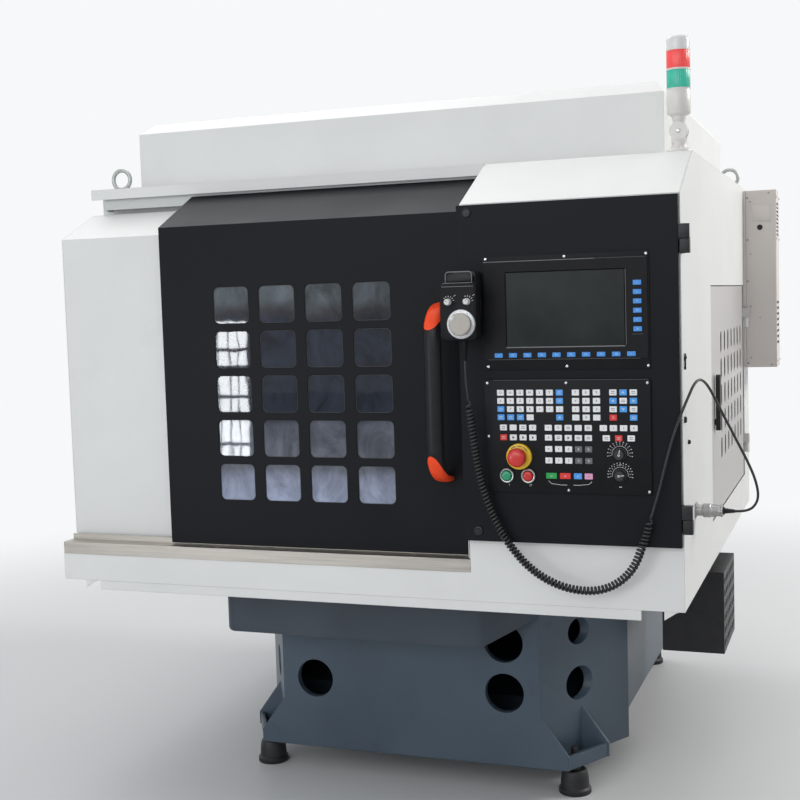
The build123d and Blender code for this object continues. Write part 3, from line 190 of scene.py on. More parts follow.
material("button_green", (0.01, 0.30, 0.14), 0.32, 0.06, 80, 0.06, coat=0.15)
material("button_red", (0.55, 0.012, 0.012), 0.32, 0.06, 80, 0.06, coat=0.15)
material("dial_black", (0.014, 0.014, 0.015), 0.36, 0.15, 70, 0.15, 800)
material("wheel_metal", (0.62, 0.63, 0.64), 0.34, 0.05, 60, 0.06, 500, metal=0.35)
material("disc_grey", (0.33, 0.31, 0.285), 0.38, 0.04, 40, 0.06, 500, metal=0.55)
material("knob_white", (0.66, 0.66, 0.64), 0.35, 0.03, 80, 0.05)
material("lamp_grey", (0.5, 0.5, 0.5), 0.4, 0.05, 6, 0.06, 700, 0.001)
material("lamp_white", (0.66, 0.64, 0.61), 0.35, 0.03, 50, 0.05, coat=0.1)
material("lens_green", (0.02, 0.42, 0.30), 0.22, 0.1, 60, 0.05, coat=0.2, emission=0.12)
material("lens_red", (0.80, 0.055, 0.05), 0.22, 0.1, 60, 0.05, coat=0.2, emission=0.18)
material("lens_clear", (0.74, 0.75, 0.74), 0.2, 0.05, 60, 0.05, coat=0.2, alpha=0.8)

# The smoked pane's colour is a painted reflection: darkest across its middle and paler above and
# below it, in wavy bands
tree = M["window_smoke"].node_tree
coord = add(tree, "TexCoord", "Object")
ripple = add(tree, "TexNoise", "Fac", {"Scale": 9, "Detail": 6, "Vector": coord})
level = add(tree, "SeparateXYZ", "Z", {"Vector": coord})
sway = add(tree, "Math", "Value", {0: ripple, 1: 0.07, 2: level}, operation="MULTIPLY_ADD")
height = add(tree, "MapRange", "Result", {"Value": sway, "From Min": 0.775, "From Max": 1.355})
painted_reflection_tint = ramp(tree, height, (0.0, (0.27, 0.31, 0.42)), (0.13, (0.20, 0.22, 0.29)),
            (0.17, (0.11, 0.12, 0.145)), (0.36, (0.085, 0.095, 0.12)),
            (0.40, (0.020, 0.026, 0.040)), (0.79, (0.017, 0.022, 0.036)),
            (0.83, (0.035, 0.034, 0.040)), (0.88, (0.078, 0.092, 0.104)),
            (1.0, (0.088, 0.105, 0.12)))
# Cloudy blotches, stretched along the pane, make the painted reflection patchy
stretched = add(tree, "VectorMath", "Vector", {0: coord, 1: (11, 1, 8)}, operation="MULTIPLY")
cloud = add(tree, "TexNoise", "Fac", {"Scale": 1.0, "Detail": 7, "Roughness": 0.62,
                                      "Distortion": 0.9, "Vector": stretched})
depth = add(tree, "MapRange", "Result", {"Value": cloud, "From Min": 0.36, "From Max": 0.66,
                                         "To Min": 0.55, "To Max": 1.6})
clouded_painted_reflection = add(tree, "VectorMath", "Vector", {0: painted_reflection_tint, "Scale": depth}, operation="SCALE")
feed(tree, tree.nodes["Principled BSDF"], {"Base Color": clouded_painted_reflection})

slot_of = {s["node"]: s["material_slot"] for s in frame["record"]["subparts"]}
for node_name, node in frame["nodes"].items():
    node.data.materials.clear()
    node.data.materials.append(M["side_sheet" if node_name == "side_door" else slot_of[node_name]])


# Mesh tools

AXES = {
    "x": (Vector((0, 1, 0)), Vector((0, 0, 1)), Vector((1, 0, 0))),
    "y": (Vector((1, 0, 0)), Vector((0, 0, 1)), Vector((0, 1, 0))),
    "z": (Vector((1, 0, 0)), Vector((0, 1, 0)), Vector((0, 0, 1))),
}


def mesh_object(name, bm, mat, sharp=None):
    """An object from a mesh in millimetres, smooth but for edges above the sharp angle."""
    bmesh.ops.scale(bm, vec=(MM, MM, MM), verts=bm.verts)
    bmesh.ops.recalc_face_normals(bm, faces=bm.faces)
    mesh = bpy.data.meshes.new(name)
    bm.to_mesh(mesh)
    bm.free()
    for polygon in mesh.polygons:
        polygon.use_smooth = True
    if sharp:
        mesh.set_sharp_from_angle(angle=math.radians(sharp))
    mesh.materials.append(M[mat])
    obj = bpy.data.objects.new(name, mesh)
    scene.collection.objects.link(obj)
    return obj


def piece(name, bm, mat, body, slot=None, replaces=None, smooth=35):
    """A finished piece that rides on a body, in place of a CAD node if one is named."""
    obj = mesh_object(name, bm, mat, smooth)
    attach(obj, body)
    if replaces:
        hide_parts(replaces)
    return obj


def loft(bm, rings, wrap=False):
    """A skin over rings of points, closed by caps or by joining the last ring to the first."""
    made = [[bm.verts.new(point) for point in ring] for ring in rings]
    pairs = list(zip(made, made[1:]))
    if wrap:
        pairs.append((made[-1], made[0]))
    for low, high in pairs:
        for i in range(len(low)):
            j = (i + 1) % len(low)
            bm.faces.new((low[i], low[j], high[j], high[i]))
    if not wrap:
        bm.faces.new(made[0])
        bm.faces.new(made[-1][::-1])


def block(bm, x0, x1, y0, y1, z0, z1, bevel=0.0, segments=2):
    """A box between two corners, with its edges rounded."""
    made = bmesh.ops.create_cube(bm, size=1)["verts"]
    bmesh.ops.scale(bm, vec=(abs(x1 - x0), abs(y1 - y0), abs(z1 - z0)), verts=made)
    bmesh.ops.translate(bm, vec=((x0 + x1) / 2, (y0 + y1) / 2, (z0 + z1) / 2), verts=made)
    if bevel:
        edges = {e for v in made for e in v.link_edges}
        bmesh.ops.bevel(bm, geom=list(edges), offset=bevel, segments=segments, profile=0.5,
                        affect="EDGES", clamp_overlap=True)


def turned(bm, centre, axis, profile, steps=40, lobes=0, depth=0.0):
    """A turned form: profile lists (radius, height from the centre) from one end to the other."""
    u, v, w = AXES[axis]
    centre = Vector(centre)
    rings = []
    for radius, height in profile:
        if radius <= 0:
            rings.append([bm.verts.new(centre + w * height)])
            continue
        ring = []
        for i in range(steps):
            angle = 2 * math.pi * i / steps
            r = radius + (depth * math.cos(lobes * angle) if lobes else 0)
            ring.append(bm.verts.new(centre + w * height + u * (r * math.cos(angle))
                                     + v * (r * math.sin(angle))))
        rings.append(ring)
    for low, high in zip(rings, rings[1:]):
        for i in range(steps):
            j = (i + 1) % steps
            if len(low) == 1:
                bm.faces.new((low[0], high[i], high[j]))
            elif len(high) == 1:
                bm.faces.new((low[i], low[j], high[0]))
            else:
                bm.faces.new((low[i], low[j], high[j], high[i]))


def turning(name, mat, body, centre, axis, profile, steps=40, lobes=0, depth=0.0, **about):
    """A piece that is one turned form."""
    bm = bmesh.new()
    turned(bm, centre, axis, profile, steps, lobes, depth)
    return piece(name, bm, mat, body, **about)


def screw(bm, x, y, z, axis, radius, d, head=1.6):
    """A domed screw head with a recess, standing off a face towards d, 1 or -1."""
    turned(bm, (x, y, z), axis,
           [(0, -0.5 * d), (radius, -0.5 * d), (radius, 0.45 * head * d),
            (0.8 * radius, 0.9 * head * d), (0.5 * radius, head * d),
            (0.46 * radius, 0.5 * head * d), (0, 0.4 * head * d)], steps=16)


def grown(box, d):
    """A flat box, low and high along one axis and then the other, grown by d all round."""
    return (box[0] - d, box[1] + d, box[2] - d, box[3] + d)


def rect(axis, box, radius, height, steps=4):
    """Points of a rounded rectangle across an axis, in the two other axes in order."""
    u, v, w = AXES[axis]
    a0, a1, b0, b1 = grown(box, -radius)
    points = []
    for a, b, start in ((a1, b1, 0), (a0, b1, 90), (a0, b0, 180), (a1, b0, 270)):
        for k in range(steps + 1):
            angle = math.radians(start + 90 * k / steps)
            points.append(u * (a + radius * math.cos(angle)) + v * (b + radius * math.sin(angle))
                          + w * height)
    return points


def plate(bm, axis, box, radius, back, face, soft=0.6, steps=4):
    """A rounded plate whose edge at the face end is softened."""
    d = math.copysign(soft, face - back)
    loft(bm, [rect(axis, box, radius, back, steps), rect(axis, box, radius, face - d, steps),
              rect(axis, grown(box, -0.3 * soft), max(0.1, radius - 0.3 * soft), face - 0.3 * d,
                   steps),
              rect(axis, grown(box, -soft), max(0.1, radius - soft), face, steps)])


def bar(bm, x0, z0, x1, z1, width, back, face):
    """A thin raised stroke between two points on the front of a panel."""
    along = Vector((x1 - x0, 0, z1 - z0)).normalized() * (width / 2)
    side = Vector((-along.z, 0, along.x))
    a, b = Vector((x0, 0, z0)), Vector((x1, 0, z1))
    base = [a - side, b - side, b + side, a + side]
    loft(bm, [[p + Vector((0, y, 0)) for p in base] for y in (back, face)])


def tick(bm, x, z, angle, inner, outer, width, back, face):
    """A stroke that points away from a centre, at an angle from straight up."""
    s, c = math.sin(angle), math.cos(angle)
    bar(bm, x + inner * s, z + inner * c, x + outer * s, z + outer * c, width, back, face)


def dial_marks(bm, x, z, face, radius, length, first, last, count, width, arc=None):
    """Tick marks fanned around a knob, with an arc beneath them when its radius is given."""
    for i in range(count):
        angle = math.radians(first + (last - first) * i / (count - 1))
        tick(bm, x, z, angle, radius, radius + length, width, face, face - 0.15)
    if arc:
        spots = [math.radians(first + (last - first) * k / 24) for k in range(25)]
        for a0, a1 in zip(spots, spots[1:]):
            bar(bm, x + arc * math.sin(a0), z + arc * math.cos(a0), x + arc * math.sin(a1),
                z + arc * math.cos(a1), width, face, face - 0.12)


def glyph(bm, text, x, z, face, height):
    """A key legend as thin raised letters on a face that looks to the front."""
    curve = bpy.data.curves.new("glyph", "FONT")
    curve.body = text
    curve.size = height * 1.35
    curve.extrude = 0.07
    curve.resolution_u = 2
    curve.align_x = curve.align_y = "CENTER"
    holder = bpy.data.objects.new("glyph", curve)
    mesh = bpy.data.meshes.new_from_object(holder)
    mesh.transform(Matrix.Translation((x, face, z)) @ Matrix.Rotation(math.radians(90), 4, "X"))
    bm.from_mesh(mesh)
    bpy.data.objects.remove(holder)
    bpy.data.curves.remove(curve)
    bpy.data.meshes.remove(mesh)


def route_points(points):
    """Points along the smooth line whose control points are the route's own."""
    curve = bpy.data.curves.new("route", "CURVE")
    curve.dimensions = "3D"
    spline = curve.splines.new("NURBS")
    spline.points.add(len(points) - 1)
    for point, co in zip(spline.points, points):
        point.co = (co[0] * MM, co[1] * MM, co[2] * MM, 1)
    spline.order_u = 3
    spline.use_endpoint_u = True
    spline.resolution_u = 10
    holder = bpy.data.objects.new("route", curve)
    line = bpy.data.meshes.new_from_object(holder)
    found = [v.co / MM for v in line.vertices]
    bpy.data.objects.remove(holder)
    bpy.data.curves.remove(curve)
    bpy.data.meshes.remove(line)
    return found


def even(points, step):
    """The same line as points a fixed step apart."""
    out = [points[0].copy()]
    left = step
    for a, b in zip(points, points[1:]):
        span = (b - a).length
        while span > left:
            a = a + (b - a) * (left / span)
            span = (b - a).length
            out.append(a.copy())
            left = step
        left -= span
    if (points[-1] - out[-1]).length > 0.3 * step:
        out.append(points[-1].copy())
    return out


def tube(bm, points, radius, sides):
    """A round tube along a line of points, with closed ends."""
    before, after = points[:1] + points[:-1], points[1:] + points[-1:]
    side, rings = None, []
    for a, point, b in zip(before, points, after):
        tangent = (b - a).normalized()
        side = side or tangent.orthogonal().normalized()
        side = (side - tangent * side.dot(tangent)).normalized()
        other = tangent.cross(side)
        rings.append([point + side * (radius * math.cos(2 * math.pi * k / sides))
                      + other * (radius * math.sin(2 * math.pi * k / sides))
                      for k in range(sides)])
    loft(bm, rings)


# Pendant cord: straight lead, curly stretch and plain tail, all one line
RELIEF_X, RELIEF_Y = RIGHT - 459, FRONT - 80
LEAD_END = 1108
CORD_Y = FRONT - 41
SOCKET = (RIGHT, FRONT + 194, 743)
SOCKET_Y, SOCKET_Z = SOCKET[1:]
lead_route = [
    (RELIEF_X, RELIEF_Y, LEAD_END),
    (RELIEF_X, RELIEF_Y, LEAD_END - 38),
    (RELIEF_X + 2, RELIEF_Y + 6, LEAD_END - 76),
]
curl_route = [
    (RELIEF_X + 8, RELIEF_Y + 24, LEAD_END - 190),
    (RIGHT - 441, FRONT - 48, 839),
    (RIGHT - 417, CORD_Y, 760),
    (RIGHT - 379, CORD_Y, 690),
    (RIGHT - 322, CORD_Y, 630),
    (RIGHT - 246, CORD_Y, 597),
    (RIGHT - 166, CORD_Y, 598),
    (RIGHT - 104, CORD_Y, 643),
    (RIGHT - 78, CORD_Y, 716),
    (RIGHT - 60, CORD_Y, 776),
]
tail_route = [
    (RIGHT - 45, CORD_Y, 826),
    (RIGHT - 31, CORD_Y + 4, 886),
    (RIGHT - 13, CORD_Y + 5, 950),
    (RIGHT + 12, CORD_Y + 8, 1012),
    (RIGHT + 29, FRONT + 8, 1059),
    (RIGHT + 44, FRONT + 56, 1048),
    (RIGHT + 68, FRONT + 98, 985),
    (RIGHT + 100, FRONT + 140, 908),
    (RIGHT + 130, FRONT + 174, 836),
    (RIGHT + 141, FRONT + 188, 788),
    (RIGHT + 136, SOCKET_Y - 2, 761),
    (RIGHT + 116, SOCKET_Y, SOCKET_Z),
    (RIGHT + 90, SOCKET_Y, SOCKET_Z),
]
WIRE_RADIUS = 3.0
COIL_RADIUS = 6.8
COIL_PITCH = 8.4
OPEN_PITCH = 32
RUN_IN = 34
STEPS_PER_TURN = 14
cord_line = even(route_points(lead_route + curl_route + tail_route), 1.0)


def nearest(place):
    """The number of the cord line's point that is nearest to a place."""
    return min(range(len(cord_line)), key=lambda i: (cord_line[i] - Vector(place)).length)


curl_from = nearest(lead_route[-1]) + 4
curl_to = nearest(curl_route[-1]) - 4
cord_points = [cord_line[i] for i in range(0, curl_from - 4, 6)]
side = None
along, turn = float(curl_from), 0.0
while along < curl_to:
    i = int(along)
    point = cord_line[i].lerp(cord_line[i + 1], along - i)
    tangent = (cord_line[i + 2] - cord_line[i - 2]).normalized()
    side = tangent.orthogonal() if side is None else side
    side = (side - tangent * side.dot(tangent)).normalized()
    opened = min(1.0, (along - curl_from) / RUN_IN, (curl_to - along) / RUN_IN)
    opened = opened * opened * (3 - 2 * opened)
    reach = COIL_RADIUS * opened
    cord_points.append(point + side * (reach * math.cos(turn))
                       + tangent.cross(side) * (reach * math.sin(turn)))
    turn += 2 * math.pi / STEPS_PER_TURN
    along += (COIL_PITCH + (OPEN_PITCH - COIL_PITCH) * (1 - opened)) / STEPS_PER_TURN
cord_points += [cord_line[i] for i in range(curl_to + 5, len(cord_line) - 6, 6)]
cord_points.append(cord_line[-1])
bm = bmesh.new()
tube(bm, cord_points, WIRE_RADIUS, 8)
cord = mesh_object("pendant_cord", bm, "cord_black")
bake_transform(cord)
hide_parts("cord_lead", "cord_curl", "cord_tail")

# Plug and socket of the cord
bm = bmesh.new()
block(bm, RIGHT, RIGHT + 3, SOCKET_Y - 17, SOCKET_Y + 17, SOCKET_Z - 17, SOCKET_Z + 17, 1.5)
turned(bm, SOCKET, "x", [(0, 1), (13, 1), (13, 12), (12, 15.5), (0, 15.5)])
for dy in (-12, 12):
    for dz in (-12, 12):
        screw(bm, RIGHT + 3, SOCKET_Y + dy, SOCKET_Z + dz, "x", 2.4, 1)
piece("panel_socket_body", bm, "connector_metal", "machine", replaces="panel_socket")
plug = turning("cord_plug_shell", "connector_metal", "machine", SOCKET, "x",
               [(0, 16), (14, 16), (14, 18)]
               + [(16 if k % 2 else 15.3, 18 + 2 * k) for k in range(9)]
               + [(14, 35), (14, 46), (12.6, 48), (12.6, 56), (13.6, 57), (13.6, 61), (11, 62),
                  (0, 62)], 48, 24, 0.25, replaces="cord_plug")
boot = turning("cord_plug_boot", "trim_black", "machine", SOCKET, "x",
               [(0, 61), (9, 61), (9, 65)]
               + [(6.4 - 0.24 * k + (0.6 if k % 2 else -0.4), 65 + 2.2 * k) for k in range(11)]
               + [(3.3, 89.6), (0, 89.6)], 24, slot="cord_black")


# Door handle: a bowed grip that tapers into the door at both ends, with orange caps
GRIP_X, GRIP_Z = RIGHT - 546, 1029
GRIP_STAND = 76
GRIP_STRAIGHT = 128
GRIP_RISE = 73
GRIP_BEND = 105
GRIP_SIDES = 32
CAP_STEPS = 16


def grip_point(end, s, k, swell=0.0):
    """A point of the grip's skin, s along its half length and k around its section."""
    bend = max(0.0, min(1.0, (s - GRIP_STRAIGHT) / GRIP_BEND)) * math.pi / 2
    taper = math.sin(bend) ** 4
    angle = 2 * math.pi * k / GRIP_SIDES
    c, n = [math.copysign(abs(t) ** 0.82, t) for t in (math.sin(angle), math.cos(angle))]
    middle = Vector((GRIP_X + (20 - 3 * taper + swell) * c, DOOR_FACE - GRIP_STAND * math.cos(bend),
                     GRIP_Z + end * (min(s, GRIP_STRAIGHT) + GRIP_RISE * math.sin(bend))))
    out = Vector((0, -math.cos(bend), end * math.sin(bend)))
    return middle + out * ((15 - 9 * taper + swell) * n)


bm = bmesh.new()
stations = [(-1, GRIP_STRAIGHT + GRIP_BEND * (1 - i / 14)) for i in range(14)]
stations += [(-1, GRIP_STRAIGHT * (1 - i / 4)) for i in range(4)]
stations += [(1, GRIP_STRAIGHT * i / 4) for i in range(4)]
stations += [(1, GRIP_STRAIGHT + GRIP_BEND * i / 14) for i in range(15)]
loft(bm, [[grip_point(end, s, k) for k in range(GRIP_SIDES)] for end, s in stations])
piece("door_grip_bar", bm, "grip_black", "sliding_door", replaces="door_grip", smooth=60)
bm = bmesh.new()
for end, front_start, lean, turn in ((1, 142, 46, 0.3), (-1, 136, 84, 0.35)):
    rings = []
    for i in range(-1, CAP_STEPS + 1):
        ring = []
        for k in range(GRIP_SIDES):
            around = 2 * math.pi * k / GRIP_SIDES + turn
            start = front_start + lean * (1 - math.cos(around)) / 2
            s = start + (GRIP_STRAIGHT + GRIP_BEND - start) * max(0, i) / CAP_STEPS
            ring.append(grip_point(end, s, k, -0.4 if i < 0 else 0.7))
        rings.append(ring)
    loft(bm, rings)
piece("grip_caps", bm, "grip_orange", "sliding_door", replaces="grip_ends", smooth=60)


# Window pane: one smoked sheet whose relief wanders, so that what it mirrors looks wavy
PANE_X, PANE_Z = RIGHT - 906, 1026
PANE_COLUMNS, PANE_ROWS = 84, 92
PANE_HALF_WIDE, PANE_HALF_TALL = 253.6, 287.2
bm = bmesh.new()
grid = []
for j in range(PANE_ROWS + 1):
    line = []
    for i in range(PANE_COLUMNS + 1):
        x = PANE_X + PANE_HALF_WIDE * (2 * i / PANE_COLUMNS - 1)
        z = PANE_Z + PANE_HALF_TALL * (2 * j / PANE_ROWS - 1)
        wave = noise.noise(Vector((x / 52, z / 90, 3.7)))
        wave += 0.5 * noise.noise(Vector((x / 17, z / 40, 9)))
        line.append(bm.verts.new((x, DOOR_FACE + 2.35 + 0.035 * wave, z)))
    grid.append(line)
for low, high in zip(grid, grid[1:]):
    for i in range(PANE_COLUMNS):
        bm.faces.new((low[i], low[i + 1], high[i + 1], high[i]))
rim = grid[0][:-1] + [line[-1] for line in grid[:-1]] + grid[-1][:0:-1]
rim += [line[0] for line in grid[:0:-1]]
back = [bm.verts.new((v.co.x, DOOR_FACE + 5.8, v.co.z)) for v in rim]
for i in range(len(rim)):
    j = (i + 1) % len(rim)
    bm.faces.new((rim[i], rim[j], back[j], back[i]))
bm.faces.new(back)
piece("pane_sheet", bm, "window_smoke", "sliding_door", replaces="door_window", smooth=60)
# A thin rim round each pane, pale as a painted highlight of the lit pane edges
bm = bmesh.new()
for column in range(4):
    for row in range(5):
        x, z = PANE_X + 123 * (column - 1.5), PANE_Z + 109 * (row - 2)
        window = (x - 46, x + 46, z - 44, z + 44)
        loft(bm, [rect("y", grown(window, wider), 12.5 + wider, DOOR_FACE + deep, 5)
                  for wider, deep in ((1.4, 2.25), (1.4, 1.5), (0.7, 1.2), (0, 1.5), (0, 2.25))],
             wrap=True)
piece("pane_rims_highlight", bm, "painted_dim_highlight", "sliding_door", slot="window_smoke")


# Display unit: flange, raised bezel with the screen's recess, and the case behind the door
UNIT_LEFT, UNIT_RIGHT = RIGHT - 433, RIGHT - 63
SCREEN_X, SCREEN_Z = RIGHT - 247, 1215
FLANGE_FACE = PANEL_FACE - 3
bezel = (RIGHT - 430, RIGHT - 66, 1104.5, 1322)
screen = (SCREEN_X - 130.5, SCREEN_X + 130.5, SCREEN_Z - 81.5, SCREEN_Z + 81.5)
bm = bmesh.new()
plate(bm, "y", (UNIT_LEFT, UNIT_RIGHT, 1082, 1334), 5, PANEL_FACE, FLANGE_FACE, 0.8)
loft(bm, [rect("y", box, corner, UNIT_FACE + deep)
          for box, corner, deep in ((bezel, 4, 3.5), (bezel, 4, 1.2), (grown(bezel, -1.2), 3, 0),
                                    (grown(screen, 2.2), 3, 0), (grown(screen, 1.6), 2.4, 0.8),
                                    (screen, 1, 2.6), (screen, 1, 4))], wrap=True)
block(bm, UNIT_LEFT + 15, UNIT_RIGHT - 15, PANEL_FACE, FRONT + 42, 1097, 1319, 2)
for i in range(9):
    block(bm, UNIT_LEFT + 60 + 30 * i, UNIT_LEFT + 76 + 30 * i, FRONT + 41.5, FRONT + 43,
          1150, 1262, 0.5)
piece("display_case", bm, "panel_plastic", "control_door", replaces="display_unit")
# The pale strokes along the display's edges are painted highlights, the dimmer ones fainter painted
# highlights
for name, mat, strokes in (
        ("display_painted_highlights", "painted_edge_highlight", ((428, 1321.6, 180, 1321.6, 1.3, 1.4, 0.25),
                                              (379, 1132.2, 115.6, 1132.2, 2.2, 0.5, 0.3),
                                              (113.5, 1134, 113.5, 1296, 0.8, 0.5, 0.2))),
        ("display_dim_painted_highlights", "painted_dim_highlight", ((422, 1105.4, 84, 1105.4, 1.0, 1.4, 0.2),
                                       (180, 1321.6, 70, 1321.6, 1.0, 1.4, 0.2),
                                       (101, 1157, 77, 1157, 1.0, 0.5, 0.2),
                                       (412, 1059.8, 68, 1059.8, 1.0, 0.5, 0.2)))):
    bm = bmesh.new()
    for x0, z0, x1, z1, width, sunk, proud in strokes:
        bar(bm, RIGHT - x0, z0, RIGHT - x1, z1, width, UNIT_FACE + sunk, UNIT_FACE - proud)
    piece(name, bm, mat, "control_door", slot="panel_plastic")
bm = bmesh.new()
for face, radius, head, places in (
        (FLANGE_FACE, 3.4, 2, ((-423.5, 1328.6), (-246, 1328.2), (-69.5, 1327.6), (-422, 1090),
                               (-243.8, 1089.6), (-67.5, 1089.2))),
        (UNIT_FACE, 3.2, 1.6, ((-425.5, 1053.6), (-246.6, 1053.2), (-70, 1052.4),
                               (-424.6, 934.3), (-245.2, 816.3), (-68.8, 816.7)))):
    for x, z in places:
        screw(bm, RIGHT + x, face, z, "y", radius, -1, head)
piece("panel_screws", bm, "bright_steel", "control_door")


# Keys: one mesh for each colour, and their legends
KEY_TOP = UNIT_FACE - 1.6
KEY_PITCH = 22.2
CODES = {"W": "white", "B": "blue", "R": "red", "G": "grey", "N": "green", "P": "pink"}
keys = {colour: [] for colour in CODES.values()}
marks = {"dark": [], "white": []}


def key(bm, x, z, width, height=13.0):
    """A key cap that narrows at its top."""
    box = (x - width / 2, x + width / 2, z - height / 2, z + height / 2)
    loft(bm, [rect("y", box, 1.2, UNIT_FACE + 0.3, 2), rect("y", box, 1.2, UNIT_FACE - 1.0, 2),
              rect("y", grown(box, -0.7), 0.8, KEY_TOP, 2)])


def key_row(x0, pitch, z, colours, labels, width=16.0):
    """A row of keys: one colour code and one legend for each place, a dot for an empty place."""
    for i, (code, label) in enumerate(zip(colours, labels)):
        if code != ".":
            keys[CODES[code]].append((x0 + i * pitch, z, width))
            marks["dark" if code in "WP" else "white"].append((label, x0 + i * pitch, z))


alpha_rows = (("WWWWWWB", "ONGMST="), ("WWWWWWB", "XYZFDH="), ("BWWWWWW", "=PQR+*/"),
              ("BBBW..B", "===-..^"))
number_rows = ("789", "456", "123", "-0.")
arrow_rows = (("WBW", "=^="), ("BWB", "<=>"), ("WBW", "=v="), ("R.B", "X.="))
for row in range(4):
    z = 1032 - 18.2 * row
    key_row(RIGHT - 395, KEY_PITCH, z, *alpha_rows[row])
    key_row(RIGHT - 226, 23, z, "WWW", number_rows[row])
    key_row(RIGHT - 144, 22, z, *arrow_rows[row])
for x, pitch, z, colours, labels in (
        (390, KEY_PITCH, 954.5, "WWWW", "=-=V"), (288, KEY_PITCH, 954.5, "WWWWW", "+O=/="),
        (390, KEY_PITCH, 932.5, "RWWW", "=>>>"), (288, KEY_PITCH, 932.5, "WWWWW", "A=>==="),
        (166, 22, 954.5, "WWWW", "1234"), (160, 27, 932.5, "WRW", "==="),
        (288, KEY_PITCH, 907.5, "WWWGG", "XYZAB"), (288, KEY_PITCH, 882, "WWWGG", "XYZAB")):
    key_row(RIGHT - x, pitch, z, colours, labels)
for x, width, code in ((283, 24, "N"), (252, 24, "R"), (224, 18, "B"), (200, 18, "P")):
    key_row(RIGHT - x, 0, 848, code, "o", width)
for colour, places in keys.items():
    bm = bmesh.new()
    for x, z, width in places:
        key(bm, x, z, width)
    piece("keys_" + colour, bm, "key_sky" if colour == "blue" else "key_" + colour,
          "control_door", slot="panel_plastic")
for tone, places in marks.items():
    bm = bmesh.new()
    for label, x, z in places:
        if label == "=":
            for dz in (-1.7, 1.7):
                bar(bm, x - 4, z + dz, x + 4, z + dz, 1.1, KEY_TOP, KEY_TOP - 0.1)
        elif label in "^v<>":
            turn = "^>v<".index(label) * math.pi / 2
            tip = Vector((math.sin(turn), 0, math.cos(turn))) * 3.2
            side = Vector((math.cos(turn), 0, -math.sin(turn))) * 3.2
            centre = Vector((x, KEY_TOP, z))
            outline = [centre + tip, centre - tip * 0.6 + side, centre - tip * 0.6 - side]
            loft(bm, [outline, [p + Vector((0, -0.1, 0)) for p in outline]])
        else:
            glyph(bm, label, x, z, KEY_TOP, 5.6)
    piece("key_legends_" + tone, bm, "ink_" + tone, "control_door", slot="panel_plastic")

# Keypad and the print on it
DIAL_X, FEED_Z, SPINDLE_Z = RIGHT - 131, 898, 852
START_X, STOP_X, BUTTON_Z = RIGHT - 384, RIGHT - 335, 847
CYCLE_X = RIGHT - 241.5
bm = bmesh.new()
plate(bm, "y", (UNIT_LEFT, UNIT_RIGHT, 809, 1061), 5, PANEL_FACE, UNIT_FACE, 1.2)
block(bm, UNIT_LEFT + 15, UNIT_RIGHT - 15, PANEL_FACE, FRONT + 22, 824, 1046, 2)
piece("keypad_panel", bm, "panel_plastic", "control_door", replaces="keypad")
bm = bmesh.new()
for side in (1, -1):
    line = [(CYCLE_X + side * x, z)
            for x, z in ((-48.5, 836.5), (-41.5, 830.5), (-20.5, 828), (-7, 828))]
    for (x0, z0), (x1, z1) in zip(line, line[1:]):
        bar(bm, x0, z0, x1, z1, 1.0, UNIT_FACE, UNIT_FACE - 0.15)
for z, small_marks in ((FEED_Z, 13), (SPINDLE_Z, 15)):
    dial_marks(bm, DIAL_X, z, UNIT_FACE, 20, 4, -100, 100, 13, 0.8, 17.5)
    dial_marks(bm, DIAL_X, z, UNIT_FACE, 25.5, 2.6, -100, 100, small_marks, 1.6)
for z in (874.5, 826):
    bar(bm, DIAL_X - 3, z, DIAL_X + 3, z, 1.6, UNIT_FACE, UNIT_FACE - 0.15)
glyph(bm, "I", RIGHT - 380, 826, UNIT_FACE, 5)
glyph(bm, "O", RIGHT - 331, 826, UNIT_FACE, 5)
piece("keypad_print", bm, "ink_white", "control_door", slot="panel_plastic")

# Function keys beside and below the screen
side_keys = [(RIGHT - 88.5, 1267 - 19.8 * i) for i in range(6)]
low_keys = [(RIGHT - 397 + 32.7 * i, 1115) for i in range(10)]
bm = bmesh.new()
for x, z in side_keys:
    key(bm, x, z, 18, 10.5)
for x, z in low_keys:
    key(bm, x, z, 18.5, 10)
piece("function_key_caps", bm, "key_blue", "control_door", replaces="function_keys")
bm = bmesh.new()
labels = list("?+=OCX<") + ["F%d" % i for i in range(1, 9)] + [">"]
for label, (x, z) in zip(labels, side_keys + low_keys):
    glyph(bm, label, x, z, KEY_TOP, 4.6)
piece("function_key_marks", bm, "ink_pale", "control_door", slot="key_blue")


# Emergency stop, push buttons and override dials
ESTOP = (RIGHT - 355, UNIT_FACE, 890)
turning("estop_collar", "estop_yellow", "control_door", ESTOP, "y",
        [(0, 0), (29, 0), (29, -5), (28.4, -7), (26.5, -8), (14, -8), (13, -6), (0, -6)], 64,
        replaces="estop_ring")
bm = bmesh.new()
for i in range(26):
    if i % 7 != 3:
        tick(bm, ESTOP[0], ESTOP[2], math.radians(-62 + 124 * i / 25), 22.5, 25, 1.5,
             UNIT_FACE - 7.9, UNIT_FACE - 8.1)
piece("estop_marks", bm, "ink_dark", "control_door", slot="estop_yellow")
turning("estop_mushroom", "estop_red", "estop_button", ESTOP, "y",
        [(0, 24), (11, 24), (11, -14), (14, -16), (20.4, -18), (21, -21), (20.9, -27),
         (19.9, -31.5), (17.2, -35), (13, -37), (7, -37.8), (0, -38)], 56,
        replaces="estop_button", smooth=60)
bm = bmesh.new()
for x in (START_X, STOP_X):
    turned(bm, (x, UNIT_FACE, BUTTON_Z), "y",
           [(11.4, 0), (17, 0), (17, -3.5), (16, -6.2), (14.5, -7), (12.6, -6.6), (11.4, -5),
            (11.4, 0)], 48)
piece("button_rings", bm, "connector_metal", "control_door", slot="bright_steel",
      replaces="button_bezels")
for name, x, mat in (("start_button", START_X, "button_green"),
                     ("stop_button", STOP_X, "button_red")):
    turning(name + "_cap", mat, name, (x, UNIT_FACE, BUTTON_Z), "y",
            [(0, 24), (10.6, 24), (10.9, -8), (10.6, -9.6), (9.4, -10.6), (5, -10.9), (0, -11)],
            replaces=name, smooth=50)
